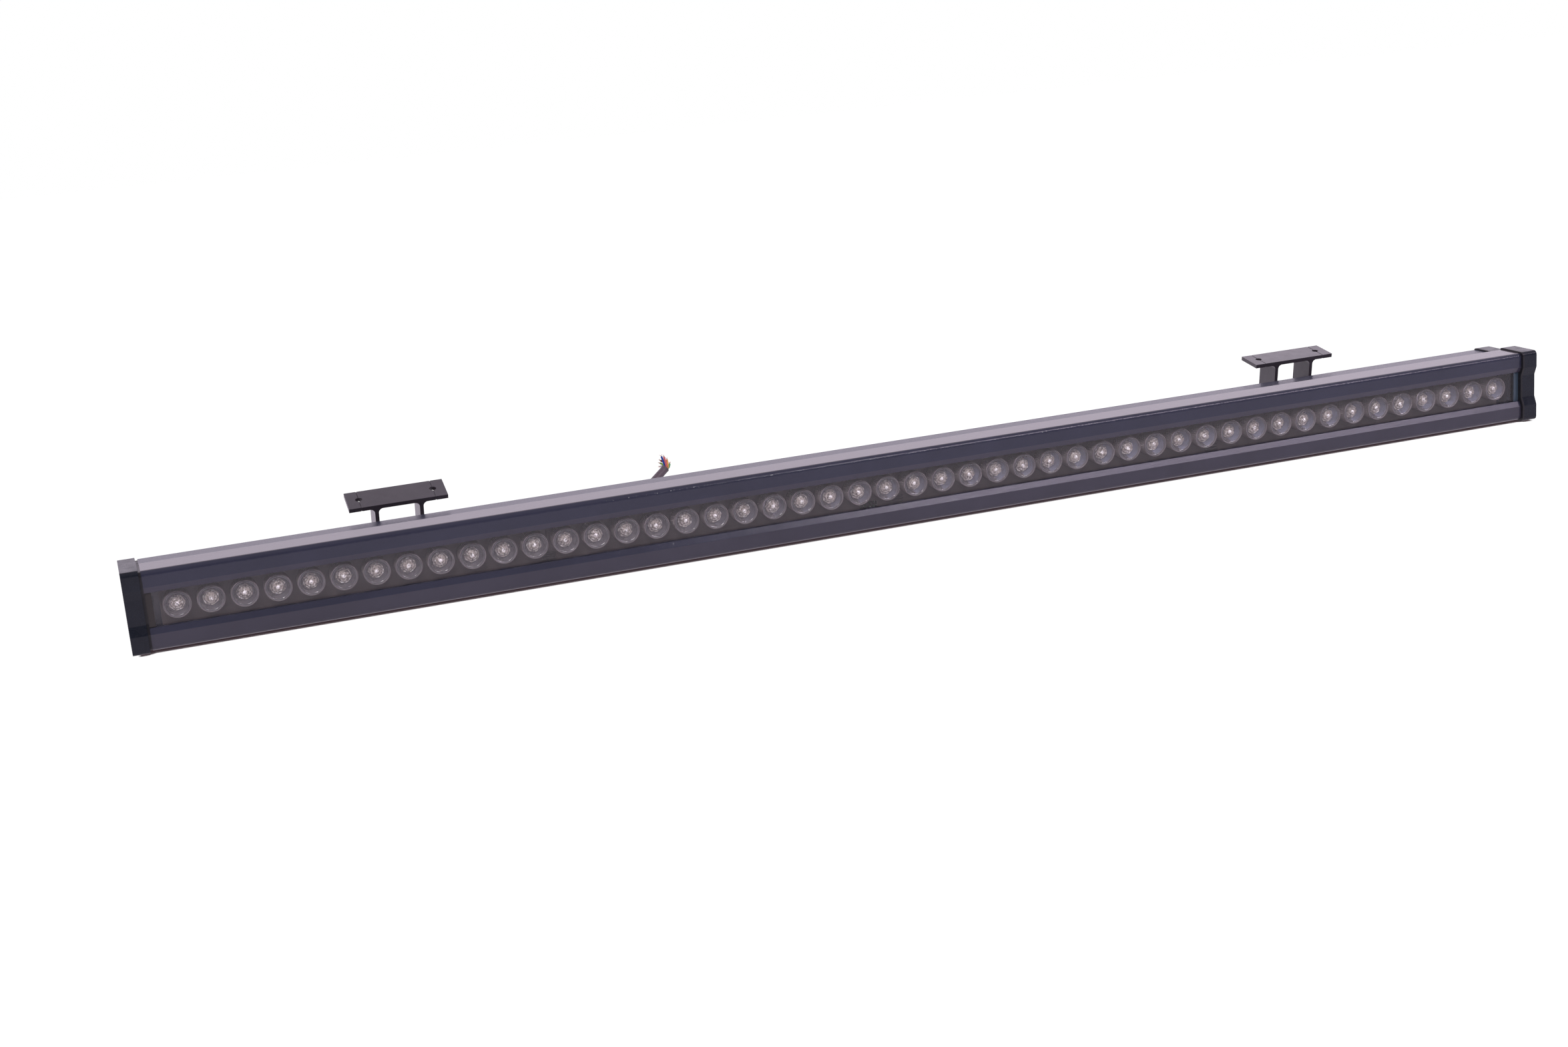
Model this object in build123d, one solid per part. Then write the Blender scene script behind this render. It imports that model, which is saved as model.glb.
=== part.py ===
from build123d import *
from math import pi, radians, tan
import os

# Outdoor wall washer light: one row of lensed LEDs behind glass in a metre-long extrusion,
# with two tilting arms that slide in a slot along its back.  Sizes are in millimetres.
#
# X runs along the lamp, Y from the glass to the back and Z up.  While a piece is made, Y = 0 is
# the front plane of the end caps and Z = 0 the surface that the lamp stands on.  save() then
# moves it so that the origin lies on that surface, under the middle of the lamp and its arms.

# Light engine ---------------------------------------------------------------------------------
LED_PITCH = 20.0              # from one LED to the next
LEDS_PER_BOARD = 12
BOARD_COUNT = 4
BOARD_GAP = 0.4               # between neighbouring boards
BOARD_WIDTH = 33.0
BOARD_T = 1.6
BOARD_SCREW_UP = 13.5         # board screws above the LED row
BOARD_SCREW_R = 1.5
BOARD_SCREW_HEAD_R = 2.75
BOARD_SCREW_HEAD_T = 1.8
HOLDER_R = 8.2                # lens holder, outside
HOLDER_DEPTH = 12.0           # from the board to the front of the holder
HOLDER_WALL = 1.0
HOLDER_FLOOR = 1.2
LENS_SET_BACK = 0.5           # lens front behind the holder's rim
LENS_DEPTH = 9.6
LENS_RIM_T = 1.5
LENS_BACK_R = 4.4
LENS_WELL_R = 3.3             # hollow over the LED
LENS_WELL_DEPTH = 4.6
LENS_DIMPLE_R = 3.0           # hollow in the lens front
LENS_DIMPLE_DEPTH = 1.6
LED_BASE_R = 4.0
LED_BASE_T = 1.0
LED_DOME_R = 2.6
JUMPER_R = 0.6
JUMPER_LENGTH = 9.0
JUMPER_SPACING = 1.8
JUMPER_DROP = 11.8            # middle of the jumpers below the LED row
JUMPERS_PER_JOINT = 4

# Housing section ------------------------------------------------------------------------------
HOUSING_HEIGHT = 49.6
HOUSING_DEPTH = 54.0
FRONT_CORNER_R = 3.2
REAR_CORNER_R = 1.5
FLAT_HEIGHT = 10.3            # flat band above and below the window
BEVEL_HEIGHT = 3.6            # sloping band next to the window
BEVEL_DEPTH = 2.0
LIP_T = 1.4                   # edge that holds the glass from the front
WALL = 2.0
BACK_WALL = 2.5
WEB_T = 2.5                   # web that carries the boards
TOP_STEP = 4.4                # the top is lower over the rear chamber
GLASS_T = 3.0
GLASS_BITE = 4.2              # glass hidden behind each lip
GLASS_PLAY = 0.1
SEAL_T = 2.0                  # rubber strip behind the glass
LEDGE_T = 1.5                 # rib behind the rubber strip
LEDGE_SHORT = 1.0             # the rib stops short of the lip's edge
LENS_GAP = 0.4                # glass to lens holder
END_SEAL = 4.0                # sealant at each end of the glass
SIDE_HOLLOW_INSET = 2.0       # hollow beside the LED chamber, from its ends
PORT_R = 2.0                  # screw ports for the end caps
BOSS_R = 3.6
FRONT_PORT_DEPTH = 6.0        # front ports, behind the housing's face
BOSS_INSET = 2.9              # rear bosses, from the chamber's walls

# Rear slot ------------------------------------------------------------------------------------
SLOT_MOUTH = 8.2
SLOT_WIDTH = 13.5
SLOT_DEPTH = 6.0
SLOT_SKIN = 1.8

# End caps and gaskets -------------------------------------------------------------------------
END_ROOM = 20.0               # from the boards' end to the outside of the cap
CAP_T = 10.4
CAP_LIP = 0.95                # the cap stands proud of the housing all round
HOUSING_SET_BACK = 2.0        # housing face behind the cap's front
CAP_LOBE = 11.7               # full-depth part of the cap's front, above and below the waist
CAP_SLOPE = 6.0
CAP_WAIST = 2.4               # depth of the waist
CAP_CORNER_R = 3.0
CAP_REAR_R = 2.0
CAP_STEP_R = 0.8
GASKET_T = 1.5
GASKET_INSET_LEFT = 1.5         # the left one is squeezed in, the right one out to the cap's edge
PLUG_TO_BOARD = 3.0
PLUG_CLEARANCE = 0.3
CAP_SCREW_R = 1.95
CAP_SCREW_HEAD_R = 3.6
CAP_SCREW_HEAD_T = 2.2
CAP_SCREW_REACH = 9.0         # thread in the housing
CAP_SCREW_SOCKET_R = 1.25
CAP_SCREW_SOCKET_DEPTH = 1.2

# Driver in the rear chamber -------------------------------------------------------------------
DRIVER_X = 20.0
DRIVER_LENGTH = 200.0
DRIVER_WIDTH = 33.0
DRIVER_STANDOFF = 2.5
DRIVER_PILLAR_R = 2.4
TRAY_T = 1.5
TRAY_OVERHANG = 6.0
TRAY_SIDE = 12.0
TERMINAL_INSET = 3.0          # terminal block, from the end of the driver board
TERMINAL_LENGTH = 10.0
TERMINAL_WIDTH = 22.0
# Each block on the driver board: its length from and to the board's middle, its width from and to
# the middle, and the share of the room above the board that it fills.
DRIVER_BLOCKS = [
    ((-30.0, -8.0), (-9.0, 9.0), 0.85),
    ((6.0, 9.0), (-14.0, 4.0), 0.85),
    ((50.0, 60.0), (-5.0, 5.0), 0.3),
]
# Each capacitor: along and across from the board's middle, its radius and its share of the room.
DRIVER_CANS = [
    (-70.0, 6.0, 5.0, 0.85),
    (-54.0, 6.0, 5.0, 0.85),
    (24.0, -7.0, 4.0, 0.7),
    (38.0, -7.0, 4.0, 0.7),
]
TERMINAL_SHARE = 0.6
LEAD_R = 0.8
LEAD_COUNT = 4
LEAD_SPACING = 3.0
LEAD_HOLE = 5.0
LEAD_X = -20.0
LEAD_DROP = 12.5              # leads below the LED row
LEAD_STUB = 2.0

# Cable gland and cable ------------------------------------------------------------------------
GLAND_X = -167.7
GLAND_POCKET = 19.0           # length over which the slot's lips are milled away
GLAND_THREAD_R = 5.0
GLAND_AF = 13.0
GLAND_GASKET_R = 6.3
GLAND_GASKET_T = 1.0
GLAND_FLANGE_T = 3.5
GLAND_STUB = 4.5              # outer thread under the clamping nut
GLAND_NUT_BODY = 7.5
GLAND_NUT_DOME = 4.5
GLAND_DOME_STEP = 0.3
GLAND_MOUTH_R = 3.1
GLAND_MOUTH_WALL = 1.2
GLAND_LOCKNUT_T = 3.5
GLAND_LOCKNUT_PAST = 2.0      # thread beyond the lock nut
GLAND_SEAL_R = 4.4
GLAND_SEAL_T = 4.0
GLAND_NUT_GAP = 0.5
THREAD_PLAY = 0.1
CABLE_R = 2.75
CABLE_PLAY = 0.05
CABLE_INSIDE = 2.0            # cable past the gland, inside the housing
SUPPLY_LEAD_SPACING = 1.9
SUPPLY_LEAD_DROP = 5.5        # leads straight out of the cable before they turn
SUPPLY_LEAD_RISE = 20.0       # over which they rise to the terminal
TERMINAL_ABOVE = 3.0          # leads above the driver board
CORE_R = 0.58
CORE_RING_R = 1.65
CORE_STRAIGHT = 1.7           # core straight out of the sheath

# Arms -----------------------------------------------------------------------------------------
ARM_X_LEFT = -323.5
ARM_X_RIGHT = 340.8
TILT_LEFT = 18.6              # plate's front edge down, as in the photograph
TILT_RIGHT = 9.5
PIVOT_BACK = 28.7             # pivot behind the housing
PIVOT_ABOVE_SLOT = 7.15
ARM_HEIGHT = 28.0             # pivot to the face of the plate
PLATE_LENGTH = 64.0
PLATE_WIDTH = 20.5
PLATE_T = 2.7
PLATE_HOLE_SPACING = 48.0
PLATE_HOLE_R = 2.25
GROOVE_WIDTH = 0.8
GROOVE_DEPTH = 0.4
LEG_SPACING = 28.9            # middle to middle
LEG_T = 2.5
LEG_FILLET_R = 3.0
PIVOT_BOLT_R = 3.0
PIVOT_FIT = 0.05
PIVOT_HEAD_AF = 10.0
PIVOT_HEAD_T = 4.0
PIVOT_NUT_T = 4.0
PIVOT_TAIL = 0.6
WASHER_R = 6.0
WASHER_T = 1.2
FRICTION_WASHER_R = 7.0
FRICTION_WASHER_T = 0.5
SLIDE_GAP = 0.1               # between pieces that slide or turn on each other
FOOT_LENGTH = 56.0
FOOT_HEIGHT = 20.0
FOOT_T = 4.0
FOOT_SCREW_SPACING = 44.0
LUG_R = 8.0
BLOCK_SCREW_R = 2.5
BLOCK_SCREW_HEAD_R = 4.75
BLOCK_SCREW_HEAD_T = 2.8
BLOCK_SCREW_SOCKET_AF = 3.0
BLOCK_SCREW_SOCKET_DEPTH = 1.6
BLOCK_SCREW_TAIL = 0.8
SLOT_NUT_LENGTH = 12.0
SLOT_NUT_T = 4.0
SLOT_NUT_PLAY = 0.25

# Places worked out from the sizes -------------------------------------------------------------
board_length = LEDS_PER_BOARD * LED_PITCH
lamp_length = BOARD_COUNT * board_length + 2 * END_ROOM
housing_length = lamp_length - 2 * (CAP_T + GASKET_T)
bottom_z = CAP_LIP
top_z = bottom_z + HOUSING_HEIGHT
step_z = top_z - TOP_STEP
mid_z = (bottom_z + top_z) / 2
slot_z = (bottom_z + step_z) / 2
lead_z = mid_z - LEAD_DROP
window_half = HOUSING_HEIGHT / 2 - FLAT_HEIGHT - BEVEL_HEIGHT
chamber_half = BOARD_WIDTH / 2 + 0.5

face_y = HOUSING_SET_BACK
glass_y = face_y + BEVEL_DEPTH + LIP_T
seal_y = glass_y + GLASS_T
ledge_y = seal_y + SEAL_T
chamber_y = ledge_y + LEDGE_T
holder_y = seal_y + LENS_GAP
board_y = holder_y + HOLDER_DEPTH
web_y = board_y + BOARD_T
rear_y = web_y + WEB_T
back_y = face_y + HOUSING_DEPTH
slot_mouth_y = back_y - BACK_WALL
slot_floor_y = slot_mouth_y - SLOT_DEPTH
cap_back_y = back_y + CAP_LIP
cap_top_z = top_z + CAP_LIP

pivot_y = back_y + PIVOT_BACK
pivot_z = slot_z + PIVOT_ABOVE_SLOT
leg_inner = (LEG_SPACING - LEG_T) / 2
leg_outer = (LEG_SPACING + LEG_T) / 2
lug_half = leg_inner - FRICTION_WASHER_T - SLIDE_GAP
foot_y = back_y + SLIDE_GAP
overall_depth = pivot_y + PLATE_WIDTH / 2

gland_seat_y = slot_floor_y + GLAND_GASKET_T
gland_flange_y = gland_seat_y + GLAND_FLANGE_T
gland_stub_y = gland_flange_y + GLAND_STUB
gland_nut_y = gland_flange_y + GLAND_NUT_GAP
gland_inner_y = slot_floor_y - SLOT_SKIN - GLAND_LOCKNUT_T - GLAND_LOCKNUT_PAST
cable_exit_y = gland_nut_y + GLAND_NUT_BODY + GLAND_NUT_DOME
cable_inner_y = gland_inner_y - CABLE_INSIDE

cap_screw_places = [
    (face_y + FRONT_PORT_DEPTH, mid_z + (window_half + GLASS_BITE + HOUSING_HEIGHT / 2) / 2),
    (face_y + FRONT_PORT_DEPTH, mid_z - (window_half + GLASS_BITE + HOUSING_HEIGHT / 2) / 2),
    (back_y - BACK_WALL - BOSS_INSET, step_z - WALL - BOSS_INSET),
    (back_y - BACK_WALL - BOSS_INSET, bottom_z + WALL + BOSS_INSET),
]
led_places = [
    (index - (BOARD_COUNT * LEDS_PER_BOARD - 1) / 2) * LED_PITCH
    for index in range(BOARD_COUNT * LEDS_PER_BOARD)
]

# The short stiff cable leaves the gland straight back, bends to the right and lifts its cut end
# above the housing's top rear edge.  Points are relative to the mouth of the gland.
CABLE_ROUTE = [
    (0.0, 0.0, 0.0),
    (0.0, 13.0, 0.0),
    (4.1, 26.3, -0.5),
    (13.1, 38.0, 1.4),
    (23.9, 45.6, 6.3),
    (35.0, 49.5, 14.1),
]
# Each bare core: its place round the cable's end in degrees (None is the middle), then where it
# bends and where it ends, relative to the middle of that end.
CORES = [
    (0, (-0.3, 0.2, 4.0), (-2.0, 1.6, 7.1)),
    (60, (1.1, -1.3, 3.3), (-0.2, -0.7, 6.1)),
    (120, (2.7, -0.9, 2.1), (2.3, 0.1, 4.8)),
    (180, (3.5, 0.4, 0.2), (4.4, 1.1, 1.7)),
    (240, (1.6, 3.4, 1.3), (-0.7, 5.5, 1.2)),
    (300, (0.2, 2.5, 2.7), (-1.7, 4.3, 4.1)),
    (None, (1.9, 1.0, 3.1), (0.5, 2.6, 6.3)),
]


# Shared shapes --------------------------------------------------------------------------------
def save(node, *solids):
    """Write the solids as one sub-part, in the frame of the whole lamp."""
    shape = solids[0] if len(solids) == 1 else Compound(list(solids))
    export_step(Pos(0, -overall_depth / 2, 0) * shape, f"parts/{node}.step")


def block(x, y, z):
    """Box from its (low, high) pairs along each axis."""
    size = [high - low for low, high in (x, y, z)]
    middle = [(high + low) / 2 for low, high in (x, y, z)]
    return Pos(*middle) * Box(*size)


def rod_x(radius, x, y, z):
    """Round rod along X from x[0] to x[1]."""
    stand = (Align.CENTER, Align.CENTER, Align.MIN)
    return Pos(x[0], y, z) * Rot(Y=90) * Cylinder(radius, x[1] - x[0], align=stand)


def rod_y(radius, x, y, z):
    """Round rod along Y from y[0] to y[1]."""
    stand = (Align.CENTER, Align.CENTER, Align.MIN)
    return Pos(x, y[0], z) * Rot(X=-90) * Cylinder(radius, y[1] - y[0], align=stand)


def hexagon_x(across, x, y, z):
    """Hexagonal bar along X, measured across its flats."""
    flat = RegularPolygon(across / 2, 6, major_radius=False)
    return Pos(x[0], y, z) * Rot(Y=90) * extrude(flat, x[1] - x[0])


def hexagon_y(across, x, y, z):
    """Hexagonal bar along Y, measured across its flats."""
    flat = RegularPolygon(across / 2, 6, major_radius=False)
    return Pos(x, y[0], z) * Rot(X=-90) * extrude(flat, y[1] - y[0])


def rounded_face(corners):
    """Closed outline from (across, up, radius) corners."""
    outline = make_face(Polyline(*[(across, up) for across, up, _ in corners], close=True))
    for across, up, radius in corners:
        if radius > 0:
            corner = outline.vertices().sort_by_distance((across, up, 0))[0]
            outline = fillet(corner, radius)
    return outline


def bar_x(face, x):
    """Section drawn as (Y, Z), run along X from x[0] to x[1]."""
    return extrude(Plane.YZ.offset(x[0]) * face, x[1] - x[0])


def turned(profile):
    """Solid of revolution about Y from (radius, depth) points."""
    return revolve(make_face(Polyline(*profile, close=True)), Axis.Y)


def route_radii(points, share=0.45):
    """Largest fair bend at each inner point of a cord's route."""
    radii = []
    for before, here, after in zip(points, points[1:], points[2:]):
        run_in = here - before
        run_out = after - here
        half_turn = radians(run_in.get_angle(run_out)) / 2
        radii.append(share * min(run_in.length, run_out.length) / tan(half_turn))
    return radii


def tube(points, bends, radius):
    """Round rod along straight runs joined by tangent arcs of the given radii."""
    path = FilletPolyline(*points, radius=bends)
    return sweep(Plane(origin=points[0], z_dir=path % 0) * Circle(radius), path)


# Housing, glass and seals ---------------------------------------------------------------------
def housing():
    """Extrusion: LED chamber in front, driver chamber behind, slot along the back."""
    half = housing_length / 2
    low_lip = mid_z - window_half
    high_lip = mid_z + window_half
    outline = rounded_face([
        (face_y, bottom_z, FRONT_CORNER_R),
        (back_y, bottom_z, REAR_CORNER_R),
        (back_y, step_z, REAR_CORNER_R),
        (rear_y, step_z, 0),
        (rear_y, top_z, REAR_CORNER_R),
        (face_y, top_z, FRONT_CORNER_R),
        (face_y, high_lip + BEVEL_HEIGHT, 0),
        (face_y + BEVEL_DEPTH, high_lip, 0),
        (face_y + BEVEL_DEPTH, low_lip, 0),
        (face_y, low_lip - BEVEL_HEIGHT, 0),
    ])
    body = bar_x(outline, (-half, half))
    run = (-half - 1, half + 1)
    hollows = [
        ((face_y, glass_y), (low_lip, high_lip)),
        ((glass_y, ledge_y), (low_lip - GLASS_BITE, high_lip + GLASS_BITE)),
        ((ledge_y, chamber_y), (low_lip - LEDGE_SHORT, high_lip + LEDGE_SHORT)),
        ((chamber_y, web_y), (mid_z - chamber_half, mid_z + chamber_half)),
        ((chamber_y + SIDE_HOLLOW_INSET, rear_y - WALL), (bottom_z + WALL, mid_z - chamber_half - WALL)),
        ((chamber_y + SIDE_HOLLOW_INSET, rear_y - WALL), (mid_z + chamber_half + WALL, top_z - WALL)),
        ((rear_y, back_y - BACK_WALL), (bottom_z + WALL, step_z - WALL)),
    ]
    for y, z in hollows:
        body -= block(run, y, z)
    keel_half = SLOT_WIDTH / 2 + SLOT_SKIN
    body += block(
        (-half, half), (slot_floor_y - SLOT_SKIN, back_y - BACK_WALL),
        (slot_z - keel_half, slot_z + keel_half),
    )
    body -= block(run, (slot_floor_y, slot_mouth_y), (slot_z - SLOT_WIDTH / 2, slot_z + SLOT_WIDTH / 2))
    body -= block(run, (slot_mouth_y, back_y + 1), (slot_z - SLOT_MOUTH / 2, slot_z + SLOT_MOUTH / 2))
    for y, z in cap_screw_places[2:]:
        body += rod_x(BOSS_R, (-half, half), y, z)
    for y, z in cap_screw_places:
        body -= rod_x(PORT_R, run, y, z)
    pocket = (GLAND_X - GLAND_POCKET / 2, GLAND_X + GLAND_POCKET / 2)
    body -= block(pocket, (slot_floor_y, back_y + 1), (slot_z - SLOT_WIDTH / 2, slot_z + SLOT_WIDTH / 2))
    body -= rod_y(GLAND_THREAD_R + THREAD_PLAY, GLAND_X, (gland_inner_y, back_y + 1), slot_z)
    body -= lead_hole((web_y - 1, rear_y + 1))
    for x in board_screw_places():
        body -= rod_y(BOARD_SCREW_R + THREAD_PLAY, x, (web_y - 1, rear_y + 1), mid_z + BOARD_SCREW_UP)
    return body


def lead_hole(y):
    """Opening for the leads from the driver to the boards."""
    half = LEAD_HOLE / 2
    wide = LEAD_COUNT * LEAD_SPACING / 2
    return block((LEAD_X - wide, LEAD_X + wide), y, (lead_z - half, lead_z + half))


def board_screw_places():
    """X of each board screw, halfway between LEDs: the middle of a board and near its ends."""
    places = []
    reach = (LEDS_PER_BOARD // 2 - 1) * LED_PITCH
    for index in range(BOARD_COUNT):
        middle = (index - (BOARD_COUNT - 1) / 2) * board_length
        places += [middle - reach, middle, middle + reach]
    return places


def glass():
    """Flat glass, held behind the lips and short of both ends."""
    half = housing_length / 2 - END_SEAL
    reach = window_half + GLASS_BITE - GLASS_PLAY
    return block((-half, half), (glass_y, glass_y + GLASS_T), (mid_z - reach, mid_z + reach))


def glass_end_seal(side):
    """Sealant between one end of the glass and the gasket."""
    inner = housing_length / 2 - END_SEAL
    x = sorted((side * inner, side * housing_length / 2))
    reach = window_half + GLASS_BITE - GLASS_PLAY
    return block(x, (glass_y, glass_y + GLASS_T), (mid_z - reach, mid_z + reach))


def glass_strip(side):
    """Rubber strip between the glass and the rib behind it, above or below the window."""
    half = housing_length / 2
    inner = window_half + LEDGE_SHORT
    outer = window_half + GLASS_BITE
    z = sorted((mid_z + side * inner, mid_z + side * outer))
    return block((-half, half), (seal_y, ledge_y), z)


# End caps -------------------------------------------------------------------------------------
def cap_outline(inset=0.0):
    """Outline of the end cap: waisted front, stepped top."""
    front = inset
    back = cap_back_y - inset
    low = inset
    high = cap_top_z - inset
    step_y = rear_y + CAP_LIP - inset
    rear_top = step_z + CAP_LIP - inset
    waist = CAP_WAIST + inset
    return rounded_face([
        (front, low, CAP_CORNER_R),
        (back, low, CAP_REAR_R),
        (back, rear_top, CAP_REAR_R),
        (step_y, rear_top, 0),
        (step_y, high, CAP_STEP_R),
        (front, high, CAP_CORNER_R),
        (front, cap_top_z - CAP_LOBE, 0),
        (waist, cap_top_z - CAP_LOBE - CAP_SLOPE, 0),
        (waist, CAP_LOBE + CAP_SLOPE, 0),
        (front, CAP_LOBE, 0),
    ])


def plugs(x, clearance):
    """The two blocks of a cap that enter the chambers, or the holes that they pass through."""
    front = block(
        x, (chamber_y + clearance, web_y - clearance),
        (mid_z - chamber_half + clearance, mid_z + chamber_half - clearance),
    )
    rear = block(
        x, (rear_y + clearance, slot_floor_y - SLOT_SKIN - clearance),
        (bottom_z + WALL + clearance, step_z - WALL - clearance),
    )
    return front + rear


def end_cap(side):
    """Moulded cap with two plugs, on the left (-1) or right (+1) end."""
    outside = lamp_length / 2
    inside = outside - CAP_T
    plug_end = inside - (END_ROOM - CAP_T - PLUG_TO_BOARD)
    cap = bar_x(cap_outline(), sorted((side * inside, side * outside)))
    cap += plugs(sorted((side * plug_end, side * inside)), PLUG_CLEARANCE)
    for y, z in cap_screw_places:
        cap -= rod_x(CAP_SCREW_R + THREAD_PLAY, sorted((side * (plug_end - 1), side * (outside + 1))), y, z)
        cap -= screw_head(side, y, z, THREAD_PLAY)
    return cap


def screw_head(side, y, z, play=0.0):
    """Countersunk head at the cap's outer face, or the seat for it."""
    outside = lamp_length / 2
    small = CAP_SCREW_R + play
    large = CAP_SCREW_HEAD_R + play
    head = Cone(small, large, CAP_SCREW_HEAD_T, align=(Align.CENTER, Align.CENTER, Align.MAX))
    return Pos(side * outside, y, z) * Rot(Y=90 * side) * head


def cap_screw(side, y, z):
    """Countersunk screw through the cap and gasket into a port of the housing."""
    outside = lamp_length / 2
    tip = housing_length / 2 - CAP_SCREW_REACH
    shank = rod_x(CAP_SCREW_R, sorted((side * tip, side * (outside - CAP_SCREW_HEAD_T))), y, z)
    bottom = outside - CAP_SCREW_SOCKET_DEPTH
    socket = rod_x(CAP_SCREW_SOCKET_R, sorted((side * bottom, side * (outside + 1))), y, z)
    return shank + screw_head(side, y, z) - socket


def gasket(side):
    """Rubber sheet between the cap and the housing, cut out for the plugs and screws."""
    inner = housing_length / 2
    x = sorted((side * inner, side * (inner + GASKET_T)))
    sheet = bar_x(cap_outline(GASKET_INSET_LEFT if side < 0 else 0.0), x)
    through = (x[0] - 1, x[1] + 1)
    sheet -= plugs(through, PLUG_CLEARANCE / 2)
    for y, z in cap_screw_places:
        sheet -= rod_x(CAP_SCREW_R + THREAD_PLAY, through, y, z)
    return sheet


# Light engine ---------------------------------------------------------------------------------
def led_board(index):
    """Aluminium-backed board screwed to the web."""
    middle = (index - (BOARD_COUNT - 1) / 2) * board_length
    half = (board_length - BOARD_GAP) / 2
    board = block(
        (middle - half, middle + half), (board_y, web_y),
        (mid_z - BOARD_WIDTH / 2, mid_z + BOARD_WIDTH / 2),
    )
    for x in board_screw_places():
        board -= rod_y(BOARD_SCREW_R + THREAD_PLAY, x, (board_y - 1, web_y + 1), mid_z + BOARD_SCREW_UP)
    return board - lead_hole((board_y - 1, web_y + 1))


def board_screw(x):
    """Pan-head screw through a board into the web."""
    z = mid_z + BOARD_SCREW_UP
    head = rod_y(BOARD_SCREW_HEAD_R, x, (board_y - BOARD_SCREW_HEAD_T, board_y), z)
    return head + rod_y(BOARD_SCREW_R, x, (board_y, rear_y), z)


def emitter():
    """LED package: round base and clear dome, its back at depth 0 and its dome forwards."""
    base = turned([(0, 0), (LED_BASE_R, 0), (LED_BASE_R, -LED_BASE_T), (0, -LED_BASE_T)])
    reach = 2 * LED_BASE_R
    behind = block((-reach, reach), (0, reach), (-reach, reach))
    return base + Pos(0, -LED_BASE_T, 0) * Sphere(LED_DOME_R) - behind


def lens():
    """Lens turned about Y, its front at depth 0, widening from the LED to the front."""
    front_r = HOLDER_R - HOLDER_WALL
    return turned([
        (0, LENS_DIMPLE_DEPTH),
        (LENS_DIMPLE_R, LENS_DIMPLE_DEPTH),
        (LENS_DIMPLE_R, 0),
        (front_r, 0),
        (front_r, LENS_RIM_T),
        (LENS_BACK_R, LENS_DEPTH),
        (LENS_WELL_R, LENS_DEPTH),
        (LENS_WELL_R, LENS_DEPTH - LENS_WELL_DEPTH),
        (0, LENS_DEPTH - LENS_WELL_DEPTH),
    ])


def holder():
    """Cup around the lens, standing on the board round the LED, its rim at depth 0."""
    inner = HOLDER_R - HOLDER_WALL
    opening = LED_BASE_R + 0.2
    return turned([
        (inner, 0),
        (HOLDER_R, 0),
        (HOLDER_R, HOLDER_DEPTH),
        (opening, HOLDER_DEPTH),
        (opening, HOLDER_DEPTH - HOLDER_FLOOR),
        (inner, HOLDER_DEPTH - HOLDER_FLOOR),
    ])


def jumpers(index):
    """Short wires soldered across the joint between two boards."""
    x = (index + 1 - BOARD_COUNT / 2) * board_length
    first = mid_z - JUMPER_DROP - (JUMPERS_PER_JOINT - 1) / 2 * JUMPER_SPACING
    return [
        rod_x(
            JUMPER_R, (x - JUMPER_LENGTH / 2, x + JUMPER_LENGTH / 2),
            board_y - JUMPER_R, first + row * JUMPER_SPACING,
        )
        for row in range(JUMPERS_PER_JOINT)
    ]


# Driver ---------------------------------------------------------------------------------------
driver_y = rear_y + TRAY_T + DRIVER_STANDOFF
driver_x = (DRIVER_X - DRIVER_LENGTH / 2, DRIVER_X + DRIVER_LENGTH / 2)
driver_z = (slot_z - DRIVER_WIDTH / 2, slot_z + DRIVER_WIDTH / 2)


def driver_tray():
    """Insulating trough against the web, with pillars under the driver board."""
    outer = (driver_x[0] - TRAY_OVERHANG, driver_x[1] + TRAY_OVERHANG)
    margin = PLUG_CLEARANCE
    z = (bottom_z + WALL + margin, step_z - WALL - margin)
    tray = block(outer, (rear_y, rear_y + TRAY_SIDE), z)
    tray -= block(
        (outer[0] - 1, outer[1] + 1), (rear_y + TRAY_T, rear_y + TRAY_SIDE + 1),
        (z[0] + TRAY_T, z[1] - TRAY_T),
    )
    for x in (driver_x[0] + 2 * DRIVER_PILLAR_R, driver_x[1] - 2 * DRIVER_PILLAR_R):
        for z_side in (-1, 1):
            z_pillar = slot_z + z_side * (DRIVER_WIDTH / 2 - DRIVER_PILLAR_R)
            tray += rod_y(DRIVER_PILLAR_R, x, (rear_y, driver_y), z_pillar)
    return tray - lead_hole((rear_y - 1, rear_y + TRAY_T + 1))


def driver_components():
    """Parts soldered to the driver board, standing towards the back."""
    top = driver_y + BOARD_T
    room = slot_floor_y - SLOT_SKIN - top
    terminal = driver_x[0] + TERMINAL_INSET
    half = TERMINAL_WIDTH / 2
    parts = [block(
        (terminal, terminal + TERMINAL_LENGTH), (top, top + TERMINAL_SHARE * room),
        (slot_z - half, slot_z + half),
    )]
    for along, across, share in DRIVER_BLOCKS:
        x = [DRIVER_X + value for value in along]
        z = [slot_z + value for value in across]
        parts.append(block(x, (top, top + share * room), z))
    for along, across, radius, share in DRIVER_CANS:
        parts.append(rod_y(radius, DRIVER_X + along, (top, top + share * room), slot_z + across))
    return parts


def lamp_leads():
    """Leads from the driver board through the web to the LED boards."""
    first = LEAD_X - (LEAD_COUNT - 1) / 2 * LEAD_SPACING
    return [
        rod_y(LEAD_R, first + row * LEAD_SPACING, (board_y - LEAD_STUB, driver_y), lead_z)
        for row in range(LEAD_COUNT)
    ]


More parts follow.
